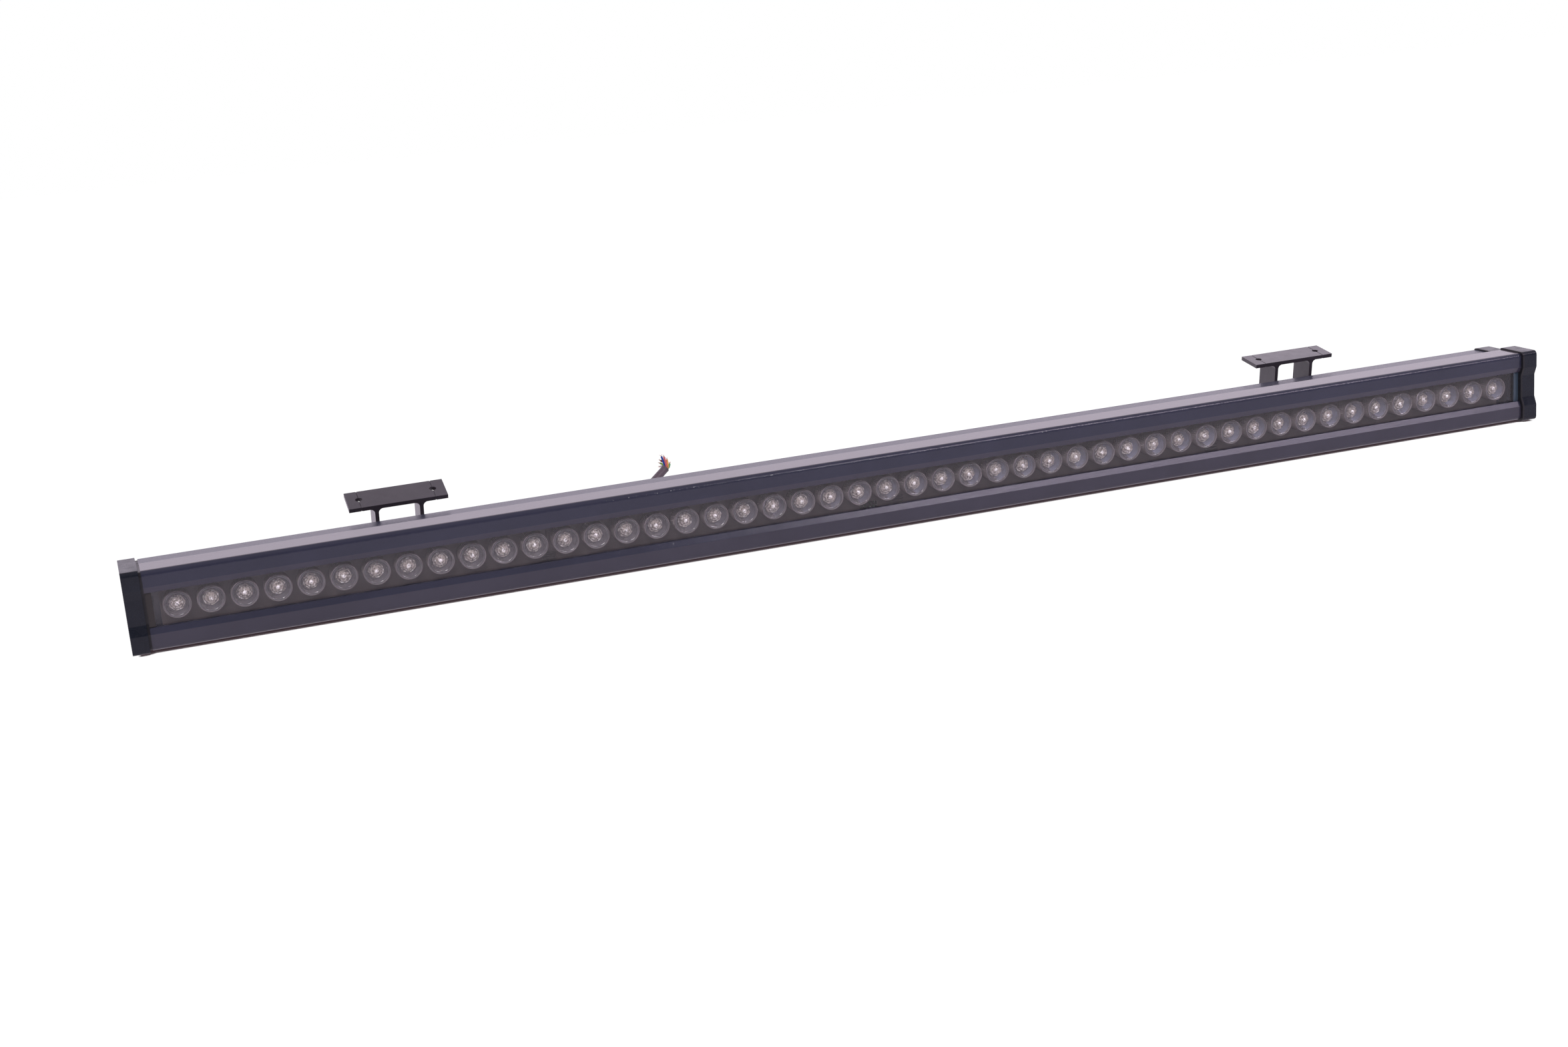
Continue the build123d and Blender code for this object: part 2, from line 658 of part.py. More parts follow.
def supply_leads():
    """Three leads from the end of the cable to the terminal of the driver board."""
    run_y = cable_inner_y - SUPPLY_LEAD_DROP
    terminal_x = driver_x[0] + TERMINAL_INSET - CABLE_PLAY
    leads = []
    for row in (-1, 0, 1):
        z = slot_z + row * SUPPLY_LEAD_SPACING
        points = [
            Vector(GLAND_X, cable_inner_y, z),
            Vector(GLAND_X, run_y, z),
            Vector(terminal_x - SUPPLY_LEAD_RISE, run_y, z),
            Vector(terminal_x, driver_y + BOARD_T + TERMINAL_ABOVE, z),
        ]
        leads.append(tube(points, route_radii(points), LEAD_R))
    return leads


# Cable gland and cable ------------------------------------------------------------------------
def gland_gasket():
    """Flat rubber ring between the gland and the floor of the slot."""
    ring = rod_y(GLAND_GASKET_R, GLAND_X, (slot_floor_y, gland_seat_y), slot_z)
    return ring - rod_y(GLAND_THREAD_R + CABLE_PLAY, GLAND_X, (slot_floor_y - 1, gland_seat_y + 1), slot_z)


def gland_body():
    """Flanged hexagon with a thread on each side, standing in the slot."""
    flange = hexagon_y(GLAND_AF, GLAND_X, (gland_seat_y, gland_flange_y), slot_z)
    thread = rod_y(GLAND_THREAD_R, GLAND_X, (gland_inner_y, gland_stub_y), slot_z)
    bore = rod_y(CABLE_R + THREAD_PLAY, GLAND_X, (gland_inner_y - 1, gland_stub_y + 1), slot_z)
    return flange + thread - bore


def gland_locknut():
    """Hexagonal nut inside the housing."""
    outer_y = slot_floor_y - SLOT_SKIN
    nut = hexagon_y(GLAND_AF, GLAND_X, (outer_y - GLAND_LOCKNUT_T, outer_y), slot_z)
    bore = (outer_y - GLAND_LOCKNUT_T - 1, outer_y + 1)
    return nut - rod_y(GLAND_THREAD_R + CABLE_PLAY, GLAND_X, bore, slot_z)


def gland_seal():
    """Rubber ring squeezed round the cable by the clamping nut."""
    end_y = gland_stub_y + GLAND_SEAL_T
    ring = rod_y(GLAND_SEAL_R, GLAND_X, (gland_stub_y, end_y), slot_z)
    return ring - rod_y(CABLE_R + CABLE_PLAY, GLAND_X, (gland_stub_y - 1, end_y + 1), slot_z)


def gland_nut():
    """Clamping nut: hexagon with a tapered end round the cable."""
    shoulder = gland_nut_y + GLAND_NUT_BODY
    nut = hexagon_y(GLAND_AF, GLAND_X, (gland_nut_y, shoulder), slot_z)
    taper = Cone(GLAND_AF / 2 - GLAND_DOME_STEP, GLAND_MOUTH_R + GLAND_MOUTH_WALL, GLAND_NUT_DOME)
    nut += Pos(GLAND_X, shoulder + GLAND_NUT_DOME / 2, slot_z) * Rot(X=-90) * taper
    seal_end = gland_stub_y + GLAND_SEAL_T
    nut -= rod_y(GLAND_THREAD_R + CABLE_PLAY, GLAND_X, (gland_nut_y - 1, seal_end), slot_z)
    return nut - rod_y(GLAND_MOUTH_R, GLAND_X, (gland_nut_y, cable_exit_y + 1), slot_z)


def cable_points():
    """Route of the free cable from the mouth of the gland to its cut end."""
    start = Vector(GLAND_X, cable_exit_y, slot_z)
    return [start + Vector(*offset) for offset in CABLE_ROUTE]


def core(place, bend, tip):
    """One bare core, straight out of the cut end of the cable and then bent aside."""
    before, end = cable_points()[-2:]
    along = (end - before).normalized()
    upwards = Vector(0, 0, 1)
    across = (upwards - along * upwards.dot(along)).normalized()
    start = end
    if place is not None:
        start = end + across.rotate(Axis((0, 0, 0), along), place) * CORE_RING_R
    points = [start, start + along * CORE_STRAIGHT, end + Vector(*bend), end + Vector(*tip)]
    return tube(points, route_radii(points), CORE_R)


# Arms -----------------------------------------------------------------------------------------
def pivot_block(x):
    """Foot on the back of the housing with a lug for the pivot bolt."""
    foot = block(
        (x - FOOT_LENGTH / 2, x + FOOT_LENGTH / 2), (foot_y, foot_y + FOOT_T),
        (slot_z - FOOT_HEIGHT / 2, slot_z + FOOT_HEIGHT / 2),
    )
    base = Pos(foot_y + FOOT_T / 2, slot_z) * Rectangle(FOOT_T, FOOT_HEIGHT)
    eye = Pos(pivot_y, pivot_z) * Circle(LUG_R)
    lug = bar_x(make_hull(base.edges() + eye.edges()), (x - lug_half, x + lug_half))
    body = foot + lug
    body -= rod_x(PIVOT_BOLT_R + PIVOT_FIT, (x - lug_half - 1, x + lug_half + 1), pivot_y, pivot_z)
    for place in block_screw_places(x):
        body -= rod_y(BLOCK_SCREW_R + THREAD_PLAY, place, (foot_y - 1, foot_y + FOOT_T + 1), slot_z)
    return body


def block_screw_places(x):
    """X of the two clamping screws of a pivot block."""
    return (x - FOOT_SCREW_SPACING / 2, x + FOOT_SCREW_SPACING / 2)


def block_screw(x):
    """Button-head screw from the foot into its slot nut."""
    seat = foot_y + FOOT_T
    tip = slot_mouth_y - SLIDE_GAP - SLOT_NUT_T - BLOCK_SCREW_TAIL
    head = rod_y(BLOCK_SCREW_HEAD_R, x, (seat, seat + BLOCK_SCREW_HEAD_T), slot_z)
    head = fillet(head.edges().group_by(Axis.Y)[-1], BLOCK_SCREW_HEAD_T / 2)
    top = seat + BLOCK_SCREW_HEAD_T
    socket = hexagon_y(BLOCK_SCREW_SOCKET_AF, x, (top - BLOCK_SCREW_SOCKET_DEPTH, top + 1), slot_z)
    return head + rod_y(BLOCK_SCREW_R, x, (tip, seat), slot_z) - socket


def slot_nut(x):
    """Square nut behind the lips of the rear slot."""
    outer = slot_mouth_y - SLIDE_GAP
    half = SLOT_WIDTH / 2 - SLOT_NUT_PLAY
    nut = block(
        (x - SLOT_NUT_LENGTH / 2, x + SLOT_NUT_LENGTH / 2), (outer - SLOT_NUT_T, outer),
        (slot_z - half, slot_z + half),
    )
    return nut - rod_y(BLOCK_SCREW_R + CABLE_PLAY, x, (outer - SLOT_NUT_T - 1, outer + 1), slot_z)


def at_pivot(shape, x, tilt):
    """Move a piece made round the pivot, its plate upwards, to its arm."""
    return Pos(x, pivot_y, pivot_z) * Rot(X=tilt) * shape


def bracket():
    """Two legs and a grooved plate, cut from one extrusion, round the pivot."""
    under = ARM_HEIGHT - PLATE_T
    section = Pos(0, under + PLATE_T / 2) * Rectangle(PLATE_LENGTH, PLATE_T)
    for side in (-1, 1):
        leg_length = under + PLATE_WIDTH / 2
        section += Pos(side * LEG_SPACING / 2, under - leg_length / 2) * Rectangle(LEG_T, leg_length)
    corners = [
        corner for corner in section.vertices()
        if abs(corner.Y - under) < 0.01 and abs(corner.X) < PLATE_LENGTH / 2 - 1
    ]
    section = fillet(corners, LEG_FILLET_R)
    for side in (-1, 1):
        groove_x = side * PLATE_HOLE_SPACING / 2
        for level, inwards in ((ARM_HEIGHT, -1), (under, 1)):
            section -= make_face(Polyline(
                (groove_x - GROOVE_WIDTH / 2, level),
                (groove_x, level + inwards * GROOVE_DEPTH),
                (groove_x + GROOVE_WIDTH / 2, level),
                close=True,
            ))
    body = extrude(Plane.XZ * section, PLATE_WIDTH / 2, both=True)
    side_view = Pos(0, ARM_HEIGHT / 2) * Rectangle(PLATE_WIDTH, ARM_HEIGHT)
    side_view += Circle(PLATE_WIDTH / 2)
    body &= bar_x(side_view, (-PLATE_LENGTH, PLATE_LENGTH))
    body -= rod_x(PIVOT_BOLT_R + THREAD_PLAY, (-PLATE_LENGTH, PLATE_LENGTH), 0, 0)
    for side in (-1, 1):
        body -= Pos(side * PLATE_HOLE_SPACING / 2, 0, ARM_HEIGHT) * Cylinder(PLATE_HOLE_R, 4 * PLATE_T)
    return body


def pivot_bolt():
    """Bolt through both legs and the lug, its head on the left."""
    head_x = -leg_outer - WASHER_T
    shank_end = leg_outer + WASHER_T + PIVOT_NUT_T + PIVOT_TAIL
    head = hexagon_x(PIVOT_HEAD_AF, (head_x - PIVOT_HEAD_T, head_x), 0, 0)
    return head + rod_x(PIVOT_BOLT_R, (head_x, shank_end), 0, 0)


def pivot_nut():
    """Lock nut on the right-hand end of the bolt."""
    start = leg_outer + WASHER_T
    nut = hexagon_x(PIVOT_HEAD_AF, (start, start + PIVOT_NUT_T), 0, 0)
    return nut - rod_x(PIVOT_BOLT_R + PIVOT_FIT, (start - 1, start + PIVOT_NUT_T + 1), 0, 0)


def washer(radius, thickness, x):
    """Flat ring round the pivot bolt, from x along the bolt."""
    ring = rod_x(radius, (x, x + thickness), 0, 0)
    return ring - rod_x(PIVOT_BOLT_R + PIVOT_FIT, (x - 1, x + thickness + 1), 0, 0)


# Write every sub-part -------------------------------------------------------------------------
os.makedirs("parts", exist_ok=True)

save("housing", housing())
save("front_glass", glass())
save("glass_end_seals", glass_end_seal(-1), glass_end_seal(1))
save("glass_strips", glass_strip(-1), glass_strip(1))

for name, side in (("left", -1), ("right", 1)):
    save(f"end_cap_{name}", end_cap(side))
    save(f"cap_gasket_{name}", gasket(side))
    save(f"cap_screws_{name}", *[cap_screw(side, y, z) for y, z in cap_screw_places])

one_emitter = emitter()
one_lens = lens()
one_holder = holder()
for index in range(BOARD_COUNT):
    row = led_places[index * LEDS_PER_BOARD:(index + 1) * LEDS_PER_BOARD]
    save(f"led_board_{index + 1}", led_board(index))
    save(f"leds_{index + 1}", *[Pos(x, board_y, mid_z) * one_emitter for x in row])
    save(f"lenses_{index + 1}", *[Pos(x, holder_y + LENS_SET_BACK, mid_z) * one_lens for x in row])
    save(f"lens_holders_{index + 1}", *[Pos(x, holder_y, mid_z) * one_holder for x in row])
save("board_screws", *[board_screw(x) for x in board_screw_places()])
save("board_jumpers", *[wire for index in range(BOARD_COUNT - 1) for wire in jumpers(index)])

save("driver_tray", driver_tray())
save("driver_board", block(driver_x, (driver_y, driver_y + BOARD_T), driver_z))
save("driver_components", *driver_components())
save("lamp_leads", *lamp_leads())
save("supply_leads", *supply_leads())

save("gland_body", gland_body())
save("gland_locknut", gland_locknut())
save("gland_seal", gland_seal())
save("gland_nut", gland_nut())
save("gland_gasket", gland_gasket())
save("cable_inside", rod_y(CABLE_R, GLAND_X, (cable_inner_y, cable_exit_y), slot_z))
route = cable_points()
cable = tube(route, route_radii(route), CABLE_R)
save("supply_cable", cable)
save("cable_cores", *[core(*bends) for bends in CORES])

for name, x, tilt in (("left", ARM_X_LEFT, TILT_LEFT), ("right", ARM_X_RIGHT, TILT_RIGHT)):
    save(f"pivot_block_{name}", pivot_block(x))
    save(f"block_screws_{name}", *[block_screw(place) for place in block_screw_places(x)])
    save(f"slot_nuts_{name}", *[slot_nut(place) for place in block_screw_places(x)])
    save(f"bracket_{name}", at_pivot(bracket(), x, tilt))
    save(f"pivot_bolt_{name}", at_pivot(pivot_bolt(), x, tilt))
    save(f"pivot_nut_{name}", at_pivot(pivot_nut(), x, tilt))
    save(f"pivot_washers_{name}", *[
        at_pivot(washer(WASHER_R, WASHER_T, start), x, tilt)
        for start in (-leg_outer - WASHER_T, leg_outer)
    ])
    save(f"friction_washers_{name}", *[
        at_pivot(washer(FRICTION_WASHER_R, FRICTION_WASHER_T, start), x, tilt)
        for start in (-leg_inner, leg_inner - FRICTION_WASHER_T)
    ])

cable_length = FilletPolyline(*route, radius=route_radii(route)).length
print("cable bend radii", [round(radius, 1) for radius in route_radii(route)])
print("cable length", round(cable_length, 1), "volume", round(cable.volume, 1))
print("cable section times length", round(pi * CABLE_R ** 2 * cable_length, 1))
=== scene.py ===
"""Looks of a metre-long outdoor wall washer light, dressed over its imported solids.

X runs along the lamp, Y from the glass to the back and Z up, in metres.  Sizes below are in
millimetres where a name ends in _mm and in metres elsewhere.
"""

import logging
import math
from collections.abc import Iterable, Sequence
from dataclasses import dataclass
from enum import Enum

import bmesh
import bpy
from mathutils import Matrix, Vector

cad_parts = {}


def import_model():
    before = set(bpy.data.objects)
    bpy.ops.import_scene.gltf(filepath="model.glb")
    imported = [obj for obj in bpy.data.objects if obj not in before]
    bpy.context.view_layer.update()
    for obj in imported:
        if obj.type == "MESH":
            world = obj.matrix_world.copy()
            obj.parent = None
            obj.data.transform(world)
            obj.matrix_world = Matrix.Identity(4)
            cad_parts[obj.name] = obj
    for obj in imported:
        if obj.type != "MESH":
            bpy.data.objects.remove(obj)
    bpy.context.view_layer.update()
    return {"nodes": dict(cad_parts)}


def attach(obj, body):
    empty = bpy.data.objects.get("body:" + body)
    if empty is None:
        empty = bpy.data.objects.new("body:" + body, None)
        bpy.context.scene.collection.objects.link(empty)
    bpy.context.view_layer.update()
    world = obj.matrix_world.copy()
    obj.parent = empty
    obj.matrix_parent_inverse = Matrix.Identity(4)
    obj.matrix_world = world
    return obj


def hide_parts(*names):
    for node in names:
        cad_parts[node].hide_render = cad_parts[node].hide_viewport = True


LOG = logging.getLogger("wall_washer")
MM = 0.001
ROUNDED_FROM_DEGREES = 28.0
ROUNDING_STEPS = 2

Point = tuple[float, float, float]
Colour = tuple[float, float, float]
Material = bpy.types.Material
Piece = bpy.types.Object
Socket = bpy.types.NodeSocket
Signal = Socket | float


class Side(Enum):
    """The two ends of the lamp."""

    LEFT = -1
    RIGHT = 1

    @property
    def word(self) -> str:
        """The side's name as the solids' names have it."""
        return self.name.lower()


def both(stem: str) -> list[str]:
    """Names of the left and the right one of a pair of solids."""
    return [f"{stem}_{side.word}" for side in Side]


class Graph:
    """Node tree under construction, with short ways to add and join its nodes."""

    def __init__(self, tree: bpy.types.NodeTree) -> None:
        """Starts from a tree that exists."""
        self.tree = tree

    def add(self, kind: str, values: dict[str | int, object] | None = None,
            **settings: object) -> bpy.types.Node:
        """Adds a node.

        Args:
            kind: Blender's type name of the node.
            values: Values of its inputs, by name or number.
            settings: Its other properties.

        Returns:
            The new node.
        """
        node = self.tree.nodes.new(kind)
        for name, value in settings.items():
            setattr(node, name, value)
        for name, value in (values or {}).items():
            node.inputs[name].default_value = value
        return node

    def join(self, source: Signal, target: Socket) -> None:
        """Feeds an input from an output, or sets it to a plain number.

        Args:
            source: The output or the number.
            target: The input.
        """
        if isinstance(source, float):
            target.default_value = source
        else:
            self.tree.links.new(source, target)

    def axes(self, kind: str = "Object") -> tuple[Socket, ...]:
        """Gives the coordinates of the shaded point.

        Args:
            kind: Blender's name of what they are measured in.

        Returns:
            Those along X, Y and Z.
        """
        parts = self.add("ShaderNodeSeparateXYZ")
        self.join(self.add("ShaderNodeTexCoord").outputs[kind], parts.inputs[0])
        return tuple(parts.outputs)

    def spread(self, value: Socket, low: float, high: float, start: float = 0.3,
               end: float = 0.7, curve: str = "LINEAR") -> Socket:
        """Maps a value from one span to another.

        Args:
            value: The value to map.
            low: What start becomes.
            high: What end becomes.
            start: One end of the value's span.
            end: The other end.
            curve: Blender's name of the way between them.

        Returns:
            The mapped value, held between low and high.
        """
        node = self.add("ShaderNodeMapRange", {
            "From Min": start, "From Max": end, "To Min": low, "To Max": high,
        }, interpolation_type=curve)
        self.join(value, node.inputs["Value"])
        return node.outputs["Result"]

    def calculate(self, operation: str, *values: Signal) -> Socket:
        """Works out one value from others.

        Args:
            operation: Blender's name of the operation.
            values: What it works on.

        Returns:
            The result.
        """
        node = self.add("ShaderNodeMath", operation=operation)
        for value, socket in zip(values, node.inputs):
            self.join(value, socket)
        return node.outputs[0]

    def blend(self, share: Socket, low: Signal, high: Signal) -> Socket:
        """Mixes two values.

        Args:
            share: How much of the second there is.
            low: The value where the share is 0.
            high: The value where it is 1.

        Returns:
            The mix.
        """
        node = self.add("ShaderNodeMix")
        for value, number in ((share, 0), (low, 2), (high, 3)):
            self.join(value, node.inputs[number])
        return node.outputs[0]

    def by_ray(self, ray: str, usual: Socket, special: Socket) -> Socket:
        """Keeps one shader for one kind of ray.

        Args:
            ray: Blender's name of the kind of ray.
            usual: The shader that all other rays meet.
            special: The shader for that kind.

        Returns:
            The shader for all rays.
        """
        mix = self.add("ShaderNodeMixShader")
        self.join(self.add("ShaderNodeLightPath").outputs[ray], mix.inputs[0])
        self.join(usual, mix.inputs[1])
        self.join(special, mix.inputs[2])
        return mix.outputs[0]


class Recipe(Graph):
    """Node tree of one finish, built round a Principled surface."""

    def __init__(self, name: str) -> None:
        """Starts the finish.

        Args:
            name: Name of the material.
        """
        self.material = bpy.data.materials.new(name)
        self.material.use_nodes = True
        super().__init__(self.material.node_tree)
        self.skin = self.tree.nodes["Principled BSDF"]
        self._normal: Socket | None = None

    def surface(self, **values: object) -> None:
        """Sets inputs of the surface; an underscore in a name stands for a space."""
        for name, value in values.items():
            self.skin.inputs[name.replace("_", " ")].default_value = value

    def show(self, shader: Socket) -> None:
        """Shows a shader in place of the plain surface."""
        self.join(shader, self.tree.nodes["Material Output"].inputs["Surface"])

    def noise(self, grain_mm: float, detail: float = 2.0,
              stretch: Point = (1.0, 1.0, 1.0)) -> Socket:
        """Adds a noise.

        Args:
            grain_mm: Size of its grains.
            detail: How much finer noise it carries.
            stretch: Squeeze along each axis; less than one draws the grains out.

        Returns:
            The noise's value, around a half.
        """
        node = self.add("ShaderNodeTexNoise", {"Scale": 1.0 / (grain_mm * MM), "Detail": detail})
        self.place(node, Scale=stretch)
        return node.outputs[0]

    def place(self, texture: bpy.types.Node, **mapping: Point) -> None:
        """Lays a texture over the lamp.

        Args:
            texture: The texture's node.
            mapping: What turns or stretches it, by the name of the mapping's input.
        """
        node = self.add("ShaderNodeMapping", mapping)
        self.join(self.add("ShaderNodeTexCoord").outputs["Object"], node.inputs["Vector"])
        self.join(node.outputs["Vector"], texture.inputs["Vector"])

    def ramp(self, value: Socket, stops: Sequence[tuple[float, Colour]],
             stepped: bool = False) -> Socket:
        """Turns a value into a colour.

        Args:
            value: The value to look up.
            stops: Places from 0 to 1, each with its colour.
            stepped: Whether a colour holds until the next place.

        Returns:
            The colour.
        """
        node = self.add("ShaderNodeValToRGB")
        if stepped:
            node.color_ramp.interpolation = "CONSTANT"
        for stop in list(node.color_ramp.elements)[1:]:
            node.color_ramp.elements.remove(stop)
        first, *others = stops
        node.color_ramp.elements[0].position = first[0]
        node.color_ramp.elements[0].color = (*first[1], 1.0)
        for place, colour in others:
            node.color_ramp.elements.new(place).color = (*colour, 1.0)
        self.join(value, node.inputs[0])
        return node.outputs[0]

    def clouds(self, base: Colour, grain_mm: float, detail: float, darker: float,
               lighter: float) -> None:
        """Gives the surface a colour with faint clouds.

        Args:
            base: The colour between the clouds.
            grain_mm: Size of the clouds.
            detail: How much finer noise they carry.
            darker: Factor of the colour in a dark cloud.
            lighter: Factor of the colour in a light one.
        """
        self.colour(self.ramp(self.noise(grain_mm, detail), [
            (0.3, shade(base, darker)), (0.7, shade(base, lighter)),
        ]))

    def colour(self, value: Socket) -> None:
        """Gives the surface a colour that varies over it."""
        self.join(value, self.skin.inputs["Base Color"])

    def sheen(self, value: Socket) -> None:
        """Gives the surface a roughness that varies over it."""
        self.join(value, self.skin.inputs["Roughness"])

    def relief(self, value: Socket, depth_mm: float, strength: float = 1.0,
               coated: bool = True) -> None:
        """Adds fine relief to the surface, on top of any that it has.

        Args:
            value: Height of the relief, from 0 to 1.
            depth_mm: What a height of one stands for.
            strength: How much of it shows.
            coated: Whether the clear coat follows it too.
        """
        node = self.add("ShaderNodeBump", {"Strength": strength, "Distance": depth_mm * MM})
        self.join(value, node.inputs["Height"])
        if self._normal is not None:
            self.join(self._normal, node.inputs["Normal"])
        self._normal = node.outputs["Normal"]
        self.join(self._normal, self.skin.inputs["Normal"])
        if coated:
            self.join(self._normal, self.skin.inputs["Coat Normal"])

    def let_light_through(self, tint: Colour) -> None:
        """Lets the lamps shine through the surface onto what lies behind it.

        Args:
            tint: Colour of the light that comes through.
        """
        clear = self.add("ShaderNodeBsdfTransparent", {"Color": (*tint, 1.0)})
        self.show(self.by_ray("Is Shadow Ray", self.skin.outputs[0], clear.outputs[0]))


def shade(colour: Colour, factor: float) -> Colour:
    """Gives a colour made lighter or darker by a factor."""
    return (colour[0] * factor, colour[1] * factor, colour[2] * factor)


# Finishes -------------------------------------------------------------------------------------
@dataclass(frozen=True)
class Finish:
    """A look that becomes one material."""

    name: str

    def make(self) -> Material:
        """Builds the material.

        Returns:
            The material.
        """
        recipe = Recipe(self.name)
        self.mix(recipe)
        return recipe.material

    def mix(self, recipe: Recipe) -> None:
        """Leaves the surface plain; each kind of finish has its own way."""


@dataclass(frozen=True)
class PowderCoat(Finish):
    """Baked powder paint with fine orange peel and faint clouds."""

    paint: Colour
    peel_mm: float = 0.9
    peel_depth_mm: float = 0.03
    finer: float = 0.4
    roughness: float = 0.36
    clear_coat: float = 0.25
    gloss: float = 0.15

    def mix(self, recipe: Recipe) -> None:
        """Adds the nodes.

        Args:
            recipe: The node tree that takes them.
        """
        recipe.clouds(self.paint, 34.0, 3.0, 0.9, 1.12)
        wear = recipe.noise(6.0, 4.0)
        recipe.sheen(recipe.spread(wear, self.roughness - 0.04, self.roughness + 0.05))
        recipe.relief(recipe.noise(self.peel_mm, 1.0), self.peel_depth_mm)
        recipe.relief(recipe.noise(self.peel_mm * self.finer, 0.0), self.peel_depth_mm * self.finer)
        recipe.surface(Coat_Weight=self.clear_coat, Coat_Roughness=self.gloss)


@dataclass(frozen=True)
class HousingCoat(Finish):
    """Powder paint of the extrusion: coarse peel on the bands, smoother on the slopes.

    Each band is (height where it starts in millimetres, paint, share of the peel); the paints are one
    grey made lighter or darker per band, painted light and shade for how each face catches the light.
    """

    name: str = "housing_coat"
    # Band colours: one paint with painted light and shade per face, lighter on the lower flat, upper
    # bevel and top.
    bands: tuple[tuple[float, Colour, float], ...] = (
        (0.0, (0.038, 0.036, 0.056), 0.25),
        (11.25, (0.026, 0.028, 0.05), 1.1),
        (14.85, (0.034, 0.035, 0.056), 0.5),
        (36.65, (0.044, 0.041, 0.066), 0.25),
        (40.25, (0.025, 0.027, 0.05), 1.2),
        (50.2, (0.045, 0.037, 0.05), 0.12),
    )
    height_mm: float = 52.0
    peel_mm: float = 0.7
    peel_depth_mm: float = 0.03
    crown_mm: float = 1.3
    crown_span_mm: tuple[float, float] = (40.25, 50.2)
    front_mm: tuple[float, float] = (-42.0, -38.0)
    step_mm: tuple[float, float] = (-23.0, -22.0)
    roughness: tuple[float, float] = (0.5, 0.6)
    clear_coat: tuple[float, float] = (1.0, 0.72)
    gloss: float = 0.06
    specular: float = 0.2

    def mix(self, recipe: Recipe) -> None:
        """Adds the nodes.

        Args:
            recipe: The node tree that takes them.
        """
        _, depth, up = recipe.axes()
        height = recipe.spread(up, 0.0, 1.0, 0.0, self.height_mm * MM)
        # Painted light and shade: each band gets its own lighter or darker copy of the one paint.
        paint = recipe.ramp(height, [(z / self.height_mm, colour) for z, colour, _ in self.bands],
                            stepped=True)
        clouds = recipe.ramp(recipe.noise(34.0, 3.0), [(0.3, (0.9, 0.9, 0.9)), (0.7, (1.1, 1.1, 1.1))])
        band_light_and_clouds = recipe.add("ShaderNodeMix", {0: 1.0}, data_type="RGBA", blend_type="MULTIPLY")
        recipe.join(paint, band_light_and_clouds.inputs[6])
        recipe.join(clouds, band_light_and_clouds.inputs[7])
        recipe.colour(band_light_and_clouds.outputs[2])
        share = recipe.ramp(height, [(z / self.height_mm, (peel,) * 3) for z, _, peel in self.bands],
                            stepped=True)
        grain = recipe.spread(recipe.noise(self.peel_mm, 1.0), 0.0, 1.0, 0.32, 0.68)
        recipe.relief(recipe.calculate("MULTIPLY", grain, share), self.peel_depth_mm)
        front = recipe.spread(depth, 1.0, 0.0, *(edge * MM for edge in self.front_mm))
        crown = recipe.spread(up, 1.0, 0.0, *(edge * MM for edge in self.crown_span_mm))
        recipe.relief(recipe.calculate("MULTIPLY", crown, front), self.crown_mm, coated=False)
        step = tuple(edge * MM for edge in self.step_mm)
        recipe.sheen(recipe.spread(depth, *self.roughness, *step))
        recipe.join(recipe.spread(depth, *self.clear_coat, *step), recipe.skin.inputs["Coat Weight"])
        recipe.surface(Coat_Roughness=self.gloss, Specular_IOR_Level=self.specular)


@dataclass(frozen=True)
class Moulded(Finish):
    """Moulded plastic or rubber with a fine eroded grain and faint rubbed patches."""

    base: Colour
    roughness: float = 0.4
    grain_mm: float = 0.35
    depth_mm: float = 0.012
    mottle: float = 0.12
    specular: float = 0.5

    def mix(self, recipe: Recipe) -> None:
        """Adds the nodes.

        Args:
            recipe: The node tree that takes them.
        """
        recipe.clouds(self.base, 11.0, 4.0, 1.0 - self.mottle, 1.0 + self.mottle)
        wear = recipe.noise(5.0, 3.0)
        recipe.sheen(recipe.spread(wear, self.roughness - 0.06, self.roughness + 0.06))
        recipe.relief(recipe.noise(self.grain_mm, 1.0), self.depth_mm)
        recipe.surface(Specular_IOR_Level=self.specular)


@dataclass(frozen=True)
class Clear(Finish):
    """Glass or clear moulded plastic that lets the lamps through."""

    tint: Colour
    index: float = 1.5
    roughness: float = 0.0
    solidity: float = 1.0
    shadow: Colour = (0.9, 0.9, 0.9)

    def mix(self, recipe: Recipe) -> None:
        """Adds the nodes.

        Args:
            recipe: The node tree that takes them.
        """
        recipe.clouds(self.tint, 25.0, 2.0, 0.985, 1.0)
        recipe.surface(Transmission_Weight=self.solidity, IOR=self.index, Roughness=self.roughness)
        recipe.let_light_through(self.shadow)


@dataclass(frozen=True)
class SolderMask(Finish):
    """Lacquer of a circuit board, with the faint edges of its copper underneath."""

    lacquer: Colour
    tile_mm: float = 70.0
    roughness: float = 0.34

    def mix(self, recipe: Recipe) -> None:
        """Adds the nodes.

        Args:
            recipe: The node tree that takes them.
        """
        recipe.clouds(self.lacquer, 18.0, 3.0, 0.93, 1.07)
        edges = recipe.add("ShaderNodeTexBrick", {
            "Scale": 1.0 / (self.tile_mm * MM), "Mortar Size": 0.01, "Mortar Smooth": 0.4,
        })
        recipe.place(edges, Rotation=(math.radians(90), 0.0, 0.0))
        recipe.relief(edges.outputs["Fac"], 0.03, 0.4)
        recipe.relief(recipe.noise(0.8, 1.0), 0.008)
        recipe.surface(Roughness=self.roughness)


